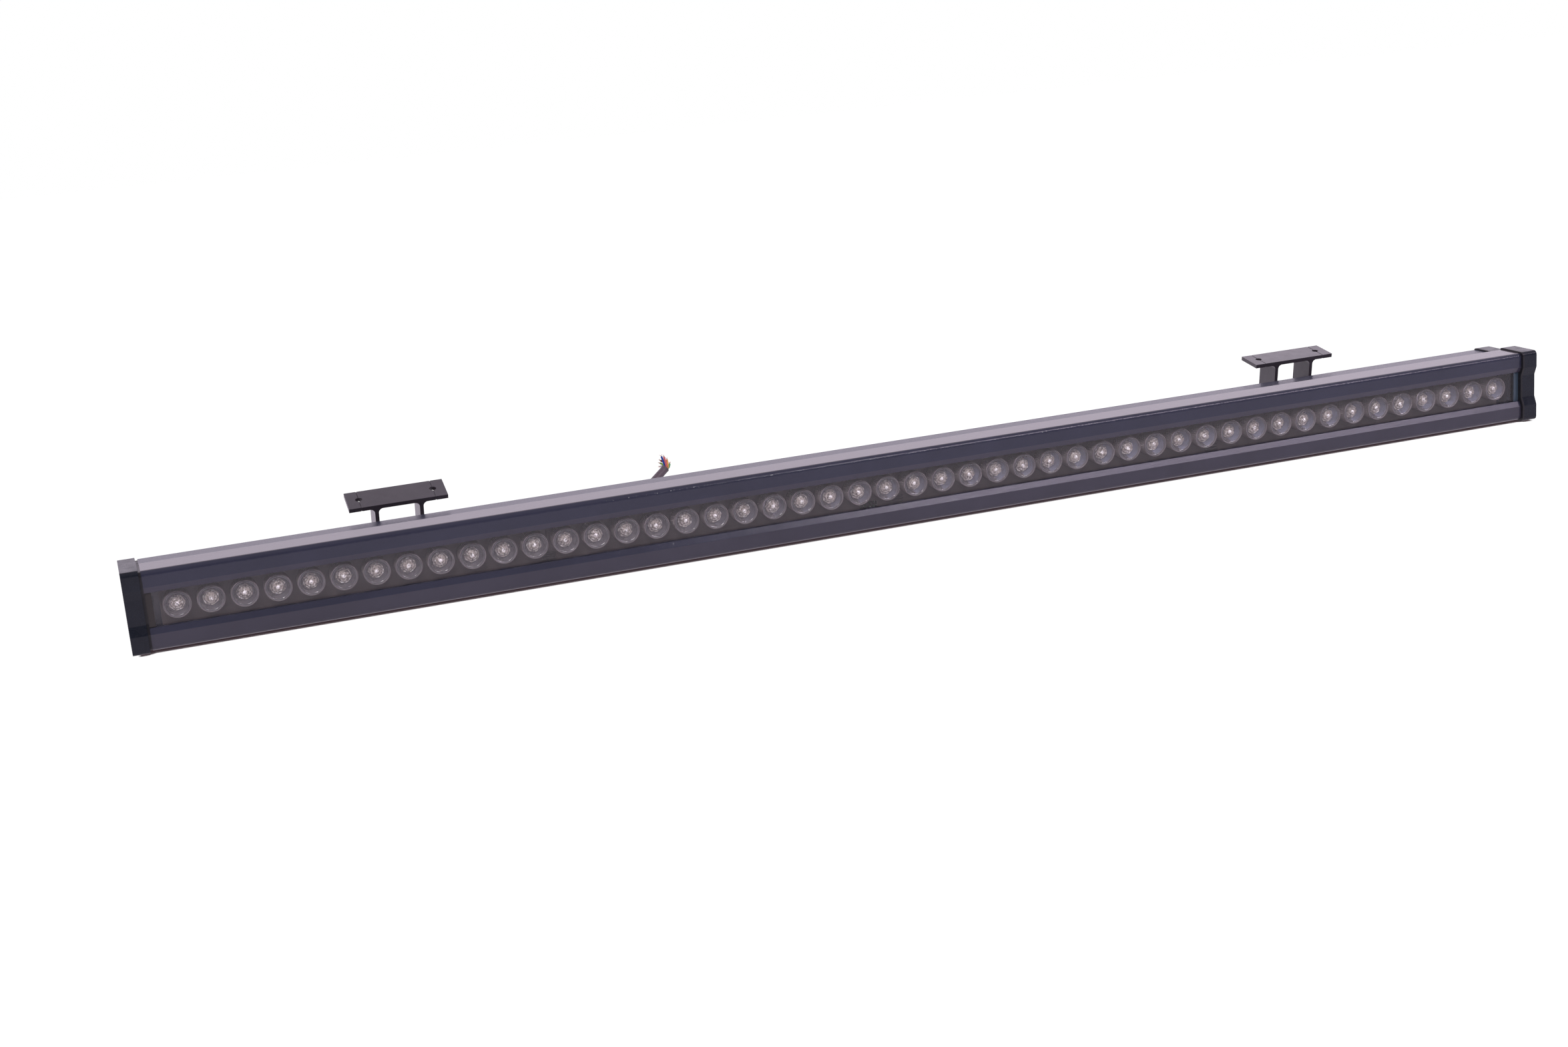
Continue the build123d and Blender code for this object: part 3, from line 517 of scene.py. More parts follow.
@dataclass(frozen=True)
class Metal(Finish):
    """Bare or plated metal with fine machining lines."""

    base: Colour
    roughness: float = 0.3
    lines_mm: float = 0.12
    stretch: Point = (1.0, 1.0, 1.0)

    def mix(self, recipe: Recipe) -> None:
        """Adds the nodes.

        Args:
            recipe: The node tree that takes them.
        """
        recipe.clouds(self.base, 3.0, 3.0, 0.88, 1.05)
        wear = recipe.noise(1.2, 4.0)
        recipe.sheen(recipe.spread(wear, self.roughness - 0.07, self.roughness + 0.1))
        recipe.relief(recipe.noise(self.lines_mm, 1.0, self.stretch), 0.006)
        recipe.surface(Metallic=1.0)


@dataclass(frozen=True)
class Phosphor(Finish):
    """Cream phosphor and white base of an LED, as the clear lens over it shows them, with painted white
    glints where the noise is highest.
    """

    bright: Colour = (0.41, 0.355, 0.325)
    dull: Colour = (0.1, 0.084, 0.08)
    # white: painted glint colour, a painted highlight rather than a colour of the LED.
    white: Colour = (0.85, 0.82, 0.84)
    grain_mm: float = 1.2
    roughness: float = 0.14

    def mix(self, recipe: Recipe) -> None:
        """Adds the nodes.

        Args:
            recipe: The node tree that takes them.
        """
        # The last, white stop paints glints into the colour: painted highlights.
        recipe.colour(recipe.ramp(recipe.noise(self.grain_mm, 2.0), [
            (0.38, self.dull), (0.48, self.bright), (0.6, self.bright), (0.66, self.white),
        ]))
        recipe.relief(recipe.noise(self.grain_mm * 0.9, 1.0), 0.2)
        recipe.surface(Roughness=self.roughness, Coat_Weight=0.6, Coat_Roughness=0.04)


@dataclass(frozen=True)
class LensWall(Finish):
    """Side of a clear lens seen from inside, painted opaque: dark as painted shade, with a painted pale
    reflection to the right.

    The painted reflection grows along the lamp, as less of the wall faces the eye.
    """

    name: str = "lens_wall"
    dark: Colour = (0.085, 0.075, 0.08)
    pale: Colour = (0.17, 0.175, 0.24)
    pitch_mm: float = 20.0
    row_mm: float = 25.75
    span_mm: float = 10.0
    towards: tuple[float, float] = (0.85, -0.5)
    reach_mm: tuple[float, float] = (2.6, 4.6)
    along_mm: tuple[float, float] = (-190.0, 120.0)

    def mix(self, recipe: Recipe) -> None:
        """Adds the nodes.

        Args:
            recipe: The node tree that takes them.
        """
        along, _, up = recipe.axes()
        turns = recipe.calculate("MULTIPLY", along, 1.0 / (self.pitch_mm * MM))
        reach, drop = (self.span_mm * part for part in self.towards)
        aside = recipe.spread(recipe.calculate("FRACT", turns), -reach, reach)
        above = recipe.spread(up, -drop, drop, (self.row_mm - self.span_mm) * MM,
                              (self.row_mm + self.span_mm) * MM)
        sector = recipe.spread(recipe.calculate("ADD", aside, above), 0.0, 1.0, *self.reach_mm)
        grows = recipe.spread(along, 0.12, 1.0, *(edge * MM for edge in self.along_mm))
        uneven = recipe.spread(recipe.noise(2.2, 2.0), 0.55, 1.3)
        share = recipe.calculate("MULTIPLY", recipe.calculate("MULTIPLY", sector, grows), uneven)
        # Painted reflection: pale in a sector of each lens, dark as painted shade elsewhere.
        recipe.colour(recipe.ramp(share, [(0.0, self.dark), (1.0, self.pale)]))
        recipe.relief(recipe.noise(2.4, 1.0), 0.14)
        recipe.surface(Roughness=0.12, Coat_Weight=0.6, Coat_Roughness=0.03)


@dataclass(frozen=True)
class EndSealant(Finish):
    """Silicone at the ends of the glass: dark at the left end, bluish at the right, the bluish tone a
    painted reflection.
    """

    name: str = "end_sealant"
    left: Colour = (0.03, 0.026, 0.026)
    right: Colour = (0.045, 0.066, 0.092)
    turns: tuple[float, float] = (-0.4, 0.4)

    def mix(self, recipe: Recipe) -> None:
        """Adds the nodes.

        Args:
            recipe: The node tree that takes them.
        """
        # Colour by place along the lamp: one silicone, with a painted bluish reflection at the right
        # end.
        recipe.colour(recipe.ramp(recipe.spread(recipe.axes()[0], 0.0, 1.0, *self.turns), [
            (0.0, self.left), (1.0, self.right),
        ]))
        recipe.relief(recipe.noise(2.5, 2.0), 0.2)
        recipe.surface(Roughness=0.22)


# Mesh helpers ---------------------------------------------------------------------------------
@dataclass(frozen=True)
class Ring:
    """One ring of a turned piece, in millimetres behind the middle of its front.

    A ring is round, fluted (every second corner pulled in) or has a few flat sides.
    """

    radius: float
    depth: float
    flute: float = 0.0
    sides: int = 0
    finish: int = 0

    def corner(self, step: int, segments: int, turn: float) -> Point:
        """Place of one of the ring's corners, in metres.

        Args:
            step: The corner, counted from 0.
            segments: How many corners the ring has.
            turn: Angle of the first flat side.

        Returns:
            The corner's place.
        """
        angle = 2 * math.pi * step / segments
        reach = self.radius - (self.flute if step % 2 else 0.0)
        if self.sides:
            side = 2 * math.pi / self.sides
            off = (angle - turn) % side - side / 2
            reach *= math.cos(side / 2) / math.cos(off)
        return (reach * math.cos(angle) * MM, self.depth * MM, reach * math.sin(angle) * MM)


def turned(shape: bmesh.types.BMesh, profile: Sequence[Ring], centre: Vector, segments: int,
           closed: bool = False, turn: float = 0.0) -> None:
    """Adds a piece turned about an axis along Y.

    Args:
        shape: The mesh that grows.
        profile: Its rings in order; the finish of a ring holds for the faces after it.
        centre: The middle of the piece's front.
        segments: Corners of each ring.
        closed: Whether the last ring joins the first, as in a tube.
        turn: Angle of the first flat side of rings that have sides.
    """
    rings: list[list[bmesh.types.BMVert]] = []
    for ring in profile:
        count = segments if ring.radius else 1
        rings.append([shape.verts.new(centre + Vector(ring.corner(step, segments, turn)))
                      for step in range(count)])
    pairs = list(zip(profile, rings, rings[1:]))
    if closed:
        pairs.append((profile[-1], rings[-1], rings[0]))
    for ring, first, second in pairs:
        for step in range(segments):
            after = (step + 1) % segments
            corners = [first[step % len(first)], second[step % len(second)],
                       second[after % len(second)], first[after % len(first)]]
            unique = list(dict.fromkeys(corners))
            if len(unique) > 2:
                shape.faces.new(unique).material_index = ring.finish


def finished(shape: bmesh.types.BMesh, name: str, *materials: Material,
             sharp_degrees: float = 34.0) -> Piece:
    """Turns a mesh under construction into an object, smooth but for its sharp edges.

    Args:
        shape: The mesh.
        name: Name of the new piece.
        materials: Its finishes, in the order that its faces count them.
        sharp_degrees: Edges that turn more than this stay sharp.

    Returns:
        The new object.
    """
    bmesh.ops.recalc_face_normals(shape, faces=shape.faces)
    for edge in shape.edges:
        edge.smooth = edge.calc_face_angle(0.0) < math.radians(sharp_degrees)
    for face in shape.faces:
        face.smooth = True
    mesh = bpy.data.meshes.new(name)
    shape.to_mesh(mesh)
    shape.free()
    piece = bpy.data.objects.new(name, mesh)
    bpy.context.scene.collection.objects.link(piece)
    for material in materials:
        mesh.materials.append(material)
    return piece


def round_curve(name: str, lines: Sequence[Sequence[Point]], radius: float,
                material: Material, filled: bool = True) -> Piece:
    """Makes round cord along smooth lines.

    Args:
        name: Name of the new piece.
        lines: Control points of each line, in metres.
        radius: Radius of the cord, in metres.
        material: Its finish.
        filled: Whether its ends are closed.

    Returns:
        The new object.
    """
    curve = bpy.data.curves.new(name, "CURVE")
    curve.dimensions = "3D"
    for points in lines:
        line = curve.splines.new("NURBS")
        line.points.add(len(points) - 1)
        for point, place in zip(line.points, points):
            point.co = (*place, 1.0)
        line.order_u = 3
        line.use_endpoint_u = True
        line.resolution_u = 12
    curve.bevel_depth = radius
    curve.bevel_resolution = 5
    curve.use_fill_caps = filled
    curve.materials.append(material)
    piece = bpy.data.objects.new(name, curve)
    bpy.context.scene.collection.objects.link(piece)
    return piece


# Studio ---------------------------------------------------------------------------------------
@dataclass(frozen=True)
class SoftBox:
    """One rectangular studio lamp."""

    name: str
    place: Point
    aim: Point
    size: tuple[float, float]
    brightness: float
    tint: Colour = (1.0, 1.0, 1.0)
    mirrored: bool = True

    def build(self) -> None:
        """Hangs the lamp in its place, turned to what it lights."""
        lamp = bpy.data.lights.new(self.name, "AREA")
        lamp.shape = "RECTANGLE"
        lamp.size, lamp.size_y = self.size
        lamp.energy = self.brightness * math.pi * self.size[0] * self.size[1]
        lamp.color = self.tint
        stand = bpy.data.objects.new(self.name, lamp)
        bpy.context.scene.collection.objects.link(stand)
        stand.location = self.place
        stand.visible_glossy = self.mirrored
        towards = Vector(self.aim) - Vector(self.place)
        stand.rotation_euler = towards.to_track_quat("-Z", "Y").to_euler()


@dataclass(frozen=True)
class Studio:
    """White table, soft lamps and the camera of the photograph."""

    eye: Point = (-0.50233, -1.32314, 0.36133)
    right: Point = (0.94110, -0.32831, -0.08090)
    up: Point = (0.15654, 0.21098, 0.96488)
    back: Point = (-0.29971, -0.92071, 0.24994)
    lens_mm: float = 48.82
    sensor_mm: float = 36.0
    look_up: float = 0.0005
    table: float = 8.0
    table_drop: float = 0.0002
    table_seen: float = 0.62
    contact: float = 0.0036
    shadow_end: tuple[float, float] = (0.488, 0.5)
    shadow: tuple[tuple[float, Colour], ...] = (
        (0.0, (0.03, 0.018, 0.022)), (0.6, (0.06, 0.038, 0.045)), (0.76, (1.0, 1.0, 1.0)),
    )
    room_front: float = 0.1
    room_above: float = 0.36
    room_behind: float = 1.05
    room_beside: float = 0.5
    behind_y: tuple[float, float] = (-0.15, 0.3)
    beside_x: tuple[float, float] = (-0.35, -0.75)
    above_z: tuple[float, float] = (0.5, 0.85)
    cast: Colour = (1.0, 0.9, 1.04)
    lamps: tuple[SoftBox, ...] = (
        SoftBox("key_box", (1.24, -1.4, 1.47), (1.24, 0.0, 0.0), (1.75, 0.5), 4.6, (1.0, 0.93, 0.99),
                mirrored=False),
        SoftBox("sheen_box", (1.38, -1.39, 1.46), (1.38, 0.0, 0.0), (1.5, 0.5), 4.6, (1.0, 0.86, 1.03)),
        SoftBox("fill_box", (-1.0, -2.2, 1.7), (0.0, 0.0, 0.02), (0.9, 0.7), 15.0, (1.0, 0.95, 0.97),
                mirrored=False),
        SoftBox("rear_box", (0.1, 1.9, 1.0), (0.0, 0.0, 0.02), (1.4, 0.8), 7.0, mirrored=False),
        SoftBox("glint_lamp", (0.7, -1.8, 1.2), (0.1, 0.0, 0.02), (0.1, 0.1), 60.0),
    )

    def build(self) -> None:
        """Sets up the camera, the room, the table and the lamps."""
        self.camera()
        self.room()
        self.table_top()
        for lamp in self.lamps:
            lamp.build()
        bpy.context.scene.view_settings.view_transform = "Standard"

    def camera(self) -> None:
        """Places the camera where the photograph was taken."""
        data = bpy.data.cameras.new("camera")
        data.lens = self.lens_mm
        data.sensor_width = self.sensor_mm
        data.sensor_fit = "HORIZONTAL"
        data.clip_start, data.clip_end = 0.05, 30.0
        view = bpy.data.objects.new("camera", data)
        turn = Matrix((self.right, self.up, self.back)).transposed()
        turn = turn @ Matrix.Rotation(self.look_up, 3, "X")
        view.matrix_world = Matrix.Translation(self.eye) @ turn.to_4x4()
        bpy.context.scene.collection.objects.link(view)
        bpy.context.scene.camera = view

    def room(self) -> None:
        """White backdrop behind the lamp and beside it, with a dim room in front and above."""
        world = bpy.data.worlds.new("studio")
        world.use_nodes = True
        graph = Graph(world.node_tree)
        x, y, z = graph.axes("Generated")
        behind, beside, above = (
            graph.spread(axis, 0.0, 1.0, *span, curve="SMOOTHSTEP")
            for axis, span in ((y, self.behind_y), (x, self.beside_x), (z, self.above_z)))
        light = graph.blend(behind, self.room_front, self.room_behind)
        light = graph.blend(beside, light, self.room_beside)
        light = graph.blend(above, light, self.room_above)
        path = graph.add("ShaderNodeLightPath")
        seen = graph.calculate("MAXIMUM", path.outputs["Is Camera Ray"],
                               path.outputs["Is Transmission Ray"])
        shine = graph.tree.nodes["Background"]
        graph.join(graph.blend(seen, light, 1.0), shine.inputs["Strength"])
        tint = graph.add("ShaderNodeMix", {6: (*self.cast, 1.0), 7: (1.0, 1.0, 1.0, 1.0)},
                         data_type="RGBA")
        graph.join(path.outputs["Is Camera Ray"], tint.inputs[0])
        graph.join(tint.outputs[2], shine.inputs["Color"])
        bpy.context.scene.world = world

    def table_top(self) -> None:
        """White table that runs on into the backdrop and keeps the lamp's contact shadow."""
        shape = bmesh.new()
        bmesh.ops.create_grid(shape, x_segments=8, y_segments=8, size=self.table / 2)
        recipe = Recipe("white_table")
        recipe.colour(recipe.ramp(recipe.noise(400.0), [(0.3, (0.8,) * 3), (0.7, (0.83,) * 3)]))
        recipe.surface(Roughness=0.9, Specular_IOR_Level=0.1)
        near = recipe.add("ShaderNodeAmbientOcclusion", {"Distance": self.contact}, samples=8)
        along = recipe.calculate("ABSOLUTE", recipe.axes()[0])
        past = recipe.spread(along, 0.0, 1.0, *self.shadow_end)
        dark = recipe.ramp(recipe.calculate("MAXIMUM", near.outputs["AO"], past), self.shadow)
        glow = recipe.add("ShaderNodeEmission", {"Strength": 1.0})
        recipe.join(dark, glow.inputs["Color"])
        faint = recipe.add("ShaderNodeBsdfDiffuse", {"Color": (0.06, 0.06, 0.06, 1.0)})
        both_lights = recipe.add("ShaderNodeAddShader")
        recipe.join(glow.outputs[0], both_lights.inputs[0])
        recipe.join(faint.outputs[0], both_lights.inputs[1])
        mirrored = recipe.add("ShaderNodeEmission", {
            "Color": (*self.cast, 1.0), "Strength": self.table_seen,
        })
        glossy = recipe.by_ray("Is Glossy Ray", recipe.skin.outputs[0], mirrored.outputs[0])
        recipe.show(recipe.by_ray("Is Camera Ray", glossy, both_lights.outputs[0]))
        floor = finished(shape, "table_top", recipe.material)
        floor.location = (0.0, 0.0, -self.table_drop)


# Sub-assemblies -------------------------------------------------------------------------------
@dataclass(frozen=True)
class Assembly:
    """Pieces that are built and dressed together."""

    nodes: dict[str, Piece]

    def dress(self, names: Iterable[str], material: Material, edge_mm: float = 0.0) -> None:
        """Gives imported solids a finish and, if asked, slightly rounded edges.

        Args:
            names: The solids' names.
            material: Their finish.
            edge_mm: Width of the rounded edge, or 0 for none.
        """
        for node in (self.nodes[name] for name in names):
            node.data.materials.clear()
            node.data.materials.append(material)
            if edge_mm > 0:
                rounding = node.modifiers.new("rounded_edges", "BEVEL")
                rounding.width = edge_mm * MM
                rounding.segments = ROUNDING_STEPS
                rounding.limit_method = "ANGLE"
                rounding.angle_limit = math.radians(ROUNDED_FROM_DEGREES)
                rounding.harden_normals = True
                rounding.use_clamp_overlap = True


@dataclass(frozen=True)
class Housing(Assembly):
    """Powder-coated extrusion with its glass, sealant and rubber strips."""

    edge_mm: float = 0.25
    bead_mm: float = 0.6

    def build(self) -> None:
        """Dresses the housing and what closes its front."""
        self.dress(["housing"], HousingCoat().make(), self.edge_mm)
        pane = Clear("front_pane", (0.97, 0.965, 0.97), 1.5, shadow=(0.93, 0.93, 0.93))
        self.dress(["front_glass"], pane.make())
        self.dress(["glass_end_seals"], EndSealant().make())
        rubber = Moulded("black_rubber", (0.012, 0.012, 0.015), roughness=0.4).make()
        self.dress(("glass_strips", "gland_seal", "gland_gasket"), rubber)
        self.dress(both("cap_gasket"), rubber, self.bead_mm)
        LOG.info("housing dressed")


@dataclass(frozen=True)
class EndCaps(Assembly):
    """Moulded caps and their countersunk screws."""

    edge_mm: float = 0.35

    def build(self) -> None:
        """Dresses both caps and their screws."""
        plastic = Moulded("cap_plastic", (0.009, 0.0115, 0.019), roughness=0.28, grain_mm=0.5,
                          depth_mm=0.008, specular=0.4)
        self.dress(both("end_cap"), plastic.make(), self.edge_mm)
        steel = Metal("screw_steel", (0.5, 0.49, 0.47), 0.28)
        self.dress(both("cap_screws"), steel.make())
        LOG.info("end caps dressed")


@dataclass(frozen=True)
class LightEngine(Assembly):
    """Boards, LEDs and the row of clear lenses in fluted holders."""

    boards: int = 4
    per_board: int = 12
    pitch_mm: float = 20.0
    rim_y_mm: float = -38.675
    row_z_mm: float = 25.75
    holder_r_mm: float = 8.4
    holder_depth_mm: float = 12.0
    holder_wall_mm: float = 0.72
    flutes: int = 54
    flute_mm: float = 0.5
    set_back_mm: float = 0.45
    flange_r_mm: float = 7.4
    plate_mm: float = 0.7
    lip_mm: float = 0.28
    wall_mm: tuple[float, float] = (6.9, 6.1)
    image_depth_mm: float = 6.8
    image_r_mm: float = 5.7
    image_sides: int = 7
    pip_r_mm: float = 0.24
    pip_in_mm: float = 1.4
    pips: int = 5
    segments: int = 56

    def build(self) -> None:
        """Builds the lenses and holders and dresses the boards."""
        clear = Clear("lens_acrylic", (0.98, 0.98, 0.985), 1.49, roughness=0.01,
                      shadow=(0.96, 0.96, 0.96)).make()
        # Painted highlight: the LED's middle is painted near-white.
        shown = (clear, Phosphor("led_image").make(), LensWall().make(),
                 Moulded("lens_lip_painted_highlight", (0.14, 0.135, 0.155), roughness=0.2).make(),
                 Phosphor("led_core_painted_highlight", (0.9, 0.87, 0.89), (0.2, 0.18, 0.18), grain_mm=1.0).make())
        # One clear part in two copies: the fluted side is lighter than the rim as painted light.
        rim, side = (
            Clear(name, tint, 1.47, roughness=0.3, solidity=0.1, shadow=(0.62, 0.6, 0.6)).make()
            for name, tint in (("holder_rim", (0.155, 0.135, 0.145)),
                               ("holder_side_painted_lighter", (0.29, 0.255, 0.265))))
        numbers = range(1, self.boards + 1)
        for board in numbers:
            lenses = self.lens_row(board, shown)
            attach(lenses, "lamp")
            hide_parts(f"lenses_{board}")
            cups = self.holder_row(board, (rim, side))
            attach(cups, "lamp")
            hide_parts(f"lens_holders_{board}")
            LOG.info("lenses of board %d built", board)
        mask = SolderMask("board_lacquer", (0.075, 0.062, 0.064))
        self.dress([f"led_board_{board}" for board in numbers], mask.make())
        package = Phosphor("led_package", roughness=0.3)
        self.dress([f"leds_{board}" for board in numbers], package.make())
        steel = Metal("board_screw_steel", (0.42, 0.41, 0.4), 0.3)
        self.dress(["board_screws"], steel.make())
        wire = Moulded("jumper_wire", (0.03, 0.03, 0.03), roughness=0.4)
        self.dress(("board_jumpers", "lamp_leads"), wire.make())

    def places(self, board: int) -> list[Vector]:
        """Works out where a board's lenses are.

        Args:
            board: The board, counted from 1.

        Returns:
            The middles of the holders' rims, in metres.
        """
        first = (board - 1) * self.per_board
        middle = (self.boards * self.per_board - 1) / 2
        return [
            Vector(((first + index - middle) * self.pitch_mm, self.rim_y_mm, self.row_z_mm)) * MM
            for index in range(self.per_board)
        ]

    def plate_profile(self) -> list[Ring]:
        """Rings of a lens's clear front with its raised lip.

        Returns:
            The rings, from the middle of the front to the middle of the back.
        """
        front, flange = self.set_back_mm, self.flange_r_mm
        back = front + self.plate_mm
        return [
            # The lip rings get an opaque grey: a painted highlight for the light on the clear lens's
            # bevelled edge.
            Ring(0.0, front - 0.1), Ring(3.0, front), Ring(flange - 0.9, front + 0.15),
            Ring(flange - 0.6, front), Ring(flange - self.lip_mm, front - 0.2, finish=3),
            Ring(flange, front - 0.15, finish=3), Ring(flange, back), Ring(0.0, back),
        ]

    def image_profile(self) -> list[Ring]:
        """Rings of what a lens shows: its side, then the LED with its raised middle.

        Returns:
            The rings, from the front edge to the middle.
        """
        low, reach = self.image_depth_mm, self.image_r_mm
        bed = [
            Ring(reach, low - 0.3, sides=self.image_sides, finish=1),
            Ring(reach - 0.5, low - 1.5, sides=self.image_sides, finish=1),
            Ring(reach - 1.0, low - 1.2, finish=1), Ring(4.2, low - 1.1, finish=2),
            Ring(3.95, low - 1.1, finish=1), Ring(3.6, low - 2.4, finish=1),
            Ring(3.0, low - 2.9, finish=1), Ring(2.6, low - 2.7, finish=1),
            Ring(2.3, low - 2.9, finish=1), Ring(1.9, low - 4.0, finish=1),
            Ring(1.5, low - 4.4, finish=1), Ring(1.1, low - 4.1, finish=4),
            Ring(0.5, low - 4.7, finish=4), Ring(0.0, low - 4.8, finish=4),
        ]
        top = self.set_back_mm + self.plate_mm + 0.05
        wide, narrow = self.wall_mm
        return [Ring(wide, top, finish=2), Ring(wide - 0.3, top + 2.4, finish=2),
                Ring(narrow, low, finish=2), *bed]

    def holder_profile(self) -> list[Ring]:
        """Rings of a fluted holder, from its inner rim round its outside to its floor.

        Returns:
            The rings, which close into a cup with a hole.
        """
        outer = self.holder_r_mm
        inner = outer - self.holder_wall_mm
        deep = self.holder_depth_mm
        waist = outer - 0.5
        return [
            Ring(inner + 0.05, 0.3), Ring(inner + 0.25, 0.0), Ring(outer - 0.25, 0.0),
            Ring(outer - 0.04, 0.2), Ring(outer, 0.9, finish=1),
            Ring(waist, 1.3, self.flute_mm, finish=1), Ring(waist + 0.3, 2.4, self.flute_mm, finish=1),
            Ring(waist + 0.3, deep, self.flute_mm),
            Ring(4.3, deep), Ring(4.3, deep - 1.0), Ring(6.6, deep - 1.0),
            Ring(inner - 0.05, deep - 2.4),
        ]

    def lens_row(self, board: int, shown: Sequence[Material]) -> Piece:
        """Turns the lenses of a board, each with what it shows and its moulding pips.

        Args:
            board: The board, counted from 1.
            shown: Finishes of the clear front, the LED, the wall with its painted reflection, the lip
                and the LED's middle; the lip and the middle are painted highlights.

        Returns:
            The new object.
        """
        shape = bmesh.new()
        for index, place in enumerate(self.places(board)):
            count = (board - 1) * self.per_board + index
            turned(shape, self.plate_profile(), place, self.segments)
            turned(shape, self.image_profile(), place, self.segments,
                   turn=math.sin(count * 2.4) * 0.5)
            for pip in range(self.pips):
                angle = 2 * math.pi * pip / self.pips + 0.4 * math.sin(count * 1.7) + 0.5
                reach = (self.flange_r_mm - self.pip_in_mm) * MM
                spot = place + Vector((
                    reach * math.cos(angle), self.set_back_mm * MM, reach * math.sin(angle)))
                bmesh.ops.create_uvsphere(
                    shape, u_segments=10, v_segments=6, radius=self.pip_r_mm * MM,
                    matrix=Matrix.Translation(spot))
        return finished(shape, f"lens_row_{board}", *shown)

    def holder_row(self, board: int, shown: Sequence[Material]) -> Piece:
        """Turns the fluted holders of a board.

        Args:
            board: The board, counted from 1.
            shown: Finishes of the rim and of the fluted side, the side a lighter copy as painted light.

        Returns:
            The new object.
        """
        shape = bmesh.new()
        for place in self.places(board):
            turned(shape, self.holder_profile(), place, 2 * self.flutes, closed=True)
        return finished(shape, f"holder_row_{board}", *shown, sharp_degrees=20.0)


@dataclass(frozen=True)
class Arms(Assembly):
    """Tilting, sliding brackets at the back and their hardware."""

    edge_mm: float = 0.3

    def build(self) -> None:
        """Dresses both brackets."""
        coat = PowderCoat("bracket_coat", (0.035, 0.029, 0.037), peel_mm=0.7, peel_depth_mm=0.02,
                          roughness=0.45, clear_coat=0.9)
        black = Metal("black_anodised", (0.05, 0.05, 0.055), 0.4, stretch=(0.1, 1.0, 1.0))
        steel = Metal("plain_steel", (0.56, 0.55, 0.54), 0.26)
        nylon = Moulded("natural_nylon", (0.7, 0.69, 0.65), roughness=0.45)
        self.dress(both("bracket"), coat.make(), self.edge_mm)
        self.dress(both("pivot_block"), black.make(), self.edge_mm)
        steel_made = steel.make()
        for stem in ("block_screws", "slot_nuts", "pivot_bolt", "pivot_nut", "pivot_washers"):
            self.dress(both(stem), steel_made)
        self.dress(both("friction_washers"), nylon.make())
        LOG.info("brackets dressed")


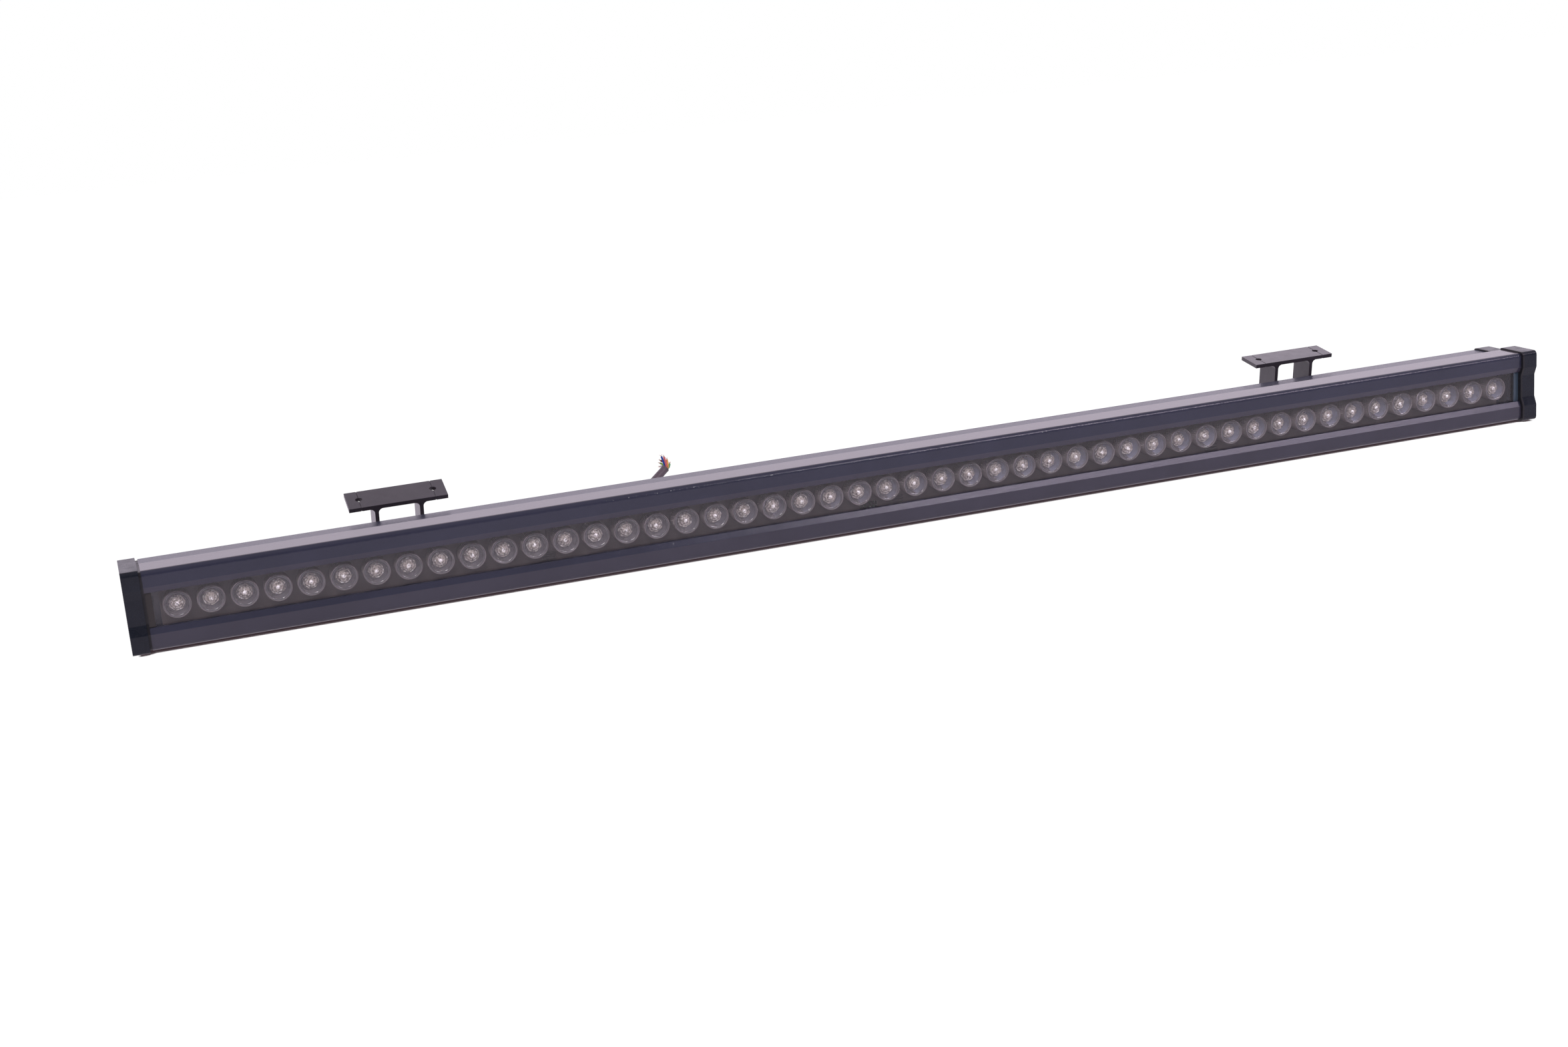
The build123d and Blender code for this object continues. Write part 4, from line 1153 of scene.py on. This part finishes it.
@dataclass(frozen=True)
class Supply(Assembly):
    """Gland, short stiff cable and its bare cores."""

    edge_mm: float = 0.2
    segments: int = 40
    route: tuple[Point, ...] = (
        (-0.1677, 0.017025, 0.02355), (-0.1677, 0.030025, 0.02355), (-0.1636, 0.043325, 0.02305),
        (-0.1546, 0.055025, 0.02495), (-0.1438, 0.062625, 0.02985), (-0.1327, 0.066525, 0.03765),
    )
    length: float = 0.0695
    radius: float = 0.00275
    wall: float = 0.0006
    slant: float = 0.12
    slant_towards: Point = (0.6, -0.8, 0.1)
    core_radius: float = 0.00072
    core_ring: float = 0.00145
    core_inside: float = 0.0006
    straight: float = 0.0009
    strand_radius: float = 0.0001
    strand_out: float = 0.0016
    strands: int = 6
    cores: tuple[tuple[str, Colour, float | None, Point, Point], ...] = (
        ("blue", (0.03, 0.09, 0.46), 0.0, (-0.5, 0.2, 4.1), (-1.5, 1.4, 8.5)),
        ("salmon", (0.74, 0.17, 0.2), 60.0, (0.6, -1.3, 3.7), (-0.2, -0.5, 8.4)),
        ("orange", (0.85, 0.42, 0.12), 120.0, (1.9, -1.2, 2.6), (1.7, -0.4, 6.2)),
        ("green", (0.16, 0.5, 0.22), 180.0, (3.2, 0.5, 0.7), (3.7, 1.0, 2.7)),
        ("white", (0.72, 0.7, 0.76), 240.0, (0.4, 3.7, 1.3), (-2.1, 5.2, 0.8)),
        ("yellow", (0.3, 0.5, 0.1), 300.0, (-0.3, 2.4, 2.5), (-2.3, 3.4, 3.5)),
        ("brown", (0.25, 0.05, 0.04), None, (0.9, 1.5, 3.7), (-2.0, 2.8, 5.5)),
    )

    def build(self) -> None:
        """Builds the cable and its cores and dresses the gland."""
        sheath_finish = Moulded("cable_sheath", (0.13, 0.1, 0.12), roughness=0.45, grain_mm=0.6,
                                depth_mm=0.02).make()
        gland_finish = Moulded("gland_nylon", (0.014, 0.014, 0.016), roughness=0.35).make()
        self.dress(("gland_body", "gland_nut", "gland_locknut"), gland_finish, self.edge_mm)
        self.dress(["cable_inside"], sheath_finish)
        sheath = round_curve("supply_sheath", [self.route], self.radius, sheath_finish, filled=False)
        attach(sheath, "lamp")
        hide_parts("supply_cable")
        pieces = [self.cut_end(sheath_finish)]
        for core in self.cores:
            pieces += self.core(*core)
            LOG.info("%s core built", core[0])
        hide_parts("cable_cores")
        for piece in pieces:
            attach(piece, "lamp")

    def frame(self) -> tuple[Vector, Vector, Vector]:
        """Finds the cable's cut end.

        Returns:
            Its middle, its direction and the way up across it.
        """
        before, end = (Vector(point) for point in self.route[-2:])
        along = (end - before).normalized()
        across = (Vector((0.0, 0.0, 1.0)) - along * along.z).normalized()
        return end, along, across

    def cut_end(self, material: Material) -> Piece:
        """Builds the sheath's slanted cut edge and the filler that shows inside it.

        Args:
            material: Finish of the sheath.

        Returns:
            The new object.
        """
        end, along, _ = self.frame()
        shape = bmesh.new()
        outer, inner = self.radius / MM, (self.radius - self.wall) / MM
        profile = [
            Ring(outer + 0.01, -1.2), Ring(outer + 0.01, -0.12), Ring(outer - 0.1, 0.0),
            Ring(inner + 0.1, 0.0), Ring(inner, -0.1), Ring(inner, -0.9), Ring(inner * 0.5, -0.7),
            Ring(0.0, -0.7),
        ]
        turned(shape, profile, Vector((0.0, 0.0, 0.0)), self.segments)
        turn = Vector((0.0, 1.0, 0.0)).rotation_difference(along).to_matrix()
        bmesh.ops.transform(shape, matrix=turn.to_4x4(), verts=shape.verts)
        towards = Vector(self.slant_towards)
        towards = (towards - along * towards.dot(along)).normalized()
        for vert in shape.verts:
            vert.co += along * (vert.co.dot(towards) + self.radius) * self.slant + end
        return finished(shape, "sheath_end", material)

    def core(self, word: str, insulation: Colour, place: float | None, bend: Point,
             tip: Point) -> list[Piece]:
        """Builds one insulated core and the copper strands at its tip.

        Args:
            word: The core's colour as a word, for its name.
            insulation: The colour.
            place: Its place round the cable's end in degrees, or None for the middle.
            bend: Where it bends, from the middle of the cable's end, in millimetres.
            tip: Where it ends, from the same point.

        Returns:
            The insulation and the strands.
        """
        end, along, across = self.frame()
        start = end.copy()
        if place is not None:
            turn = Matrix.Rotation(math.radians(place), 3, along)
            start = end + (turn @ across) * self.core_ring
        corners = [start - along * self.core_inside, start + along * self.straight,
                   end + Vector(bend) * MM, end + Vector(tip) * MM]
        finish = Moulded(f"core_{word}", insulation, roughness=0.38, mottle=0.06)
        sleeve = round_curve(f"core_{word}", [[tuple(point) for point in corners]],
                             self.core_radius, finish.make())
        copper = Metal(f"copper_{word}", (0.72, 0.34, 0.22), 0.3)
        outwards = (corners[3] - corners[2]).normalized()
        aside = outwards.orthogonal().normalized()
        lines = []
        for strand in range(self.strands):
            spread = Matrix.Rotation(2 * math.pi * strand / self.strands, 3, outwards) @ aside
            wave = 0.6 + 0.4 * math.sin(strand * 2.1 + len(word))
            lines.append([tuple(corners[3] + point) for point in (
                outwards * -0.0002 + spread * self.core_radius * 0.3,
                outwards * self.strand_out * 0.4 + spread * self.core_radius * 0.35,
                outwards * self.strand_out * wave + spread * self.core_radius * (0.4 + wave),
            )])
        return [sleeve, round_curve(f"strands_{word}", lines, self.strand_radius, copper.make())]


@dataclass(frozen=True)
class Driver(Assembly):
    """What works inside the rear chamber, unseen from outside."""

    def build(self) -> None:
        """Dresses the tray, the driver board, its components and the leads."""
        for name, finish in (
            ("driver_tray", Moulded("tray_plastic", (0.66, 0.66, 0.63))),
            ("driver_board", SolderMask("driver_lacquer", (0.03, 0.14, 0.06))),
            ("driver_components", Moulded("component_cases", (0.05, 0.05, 0.06))),
            ("supply_leads", Moulded("lead_sleeve", (0.3, 0.1, 0.05))),
        ):
            self.dress([name], finish.make())
        LOG.info("driver dressed")


def main() -> None:
    """Builds the studio and every sub-assembly."""
    logging.basicConfig(level=logging.INFO, format="%(message)s")
    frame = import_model()
    nodes = frame["nodes"]
    Studio().build()
    for assembly in (Supply, Housing, EndCaps, LightEngine, Arms, Driver):
        assembly(nodes).build()


if __name__ == "__main__":
    main()
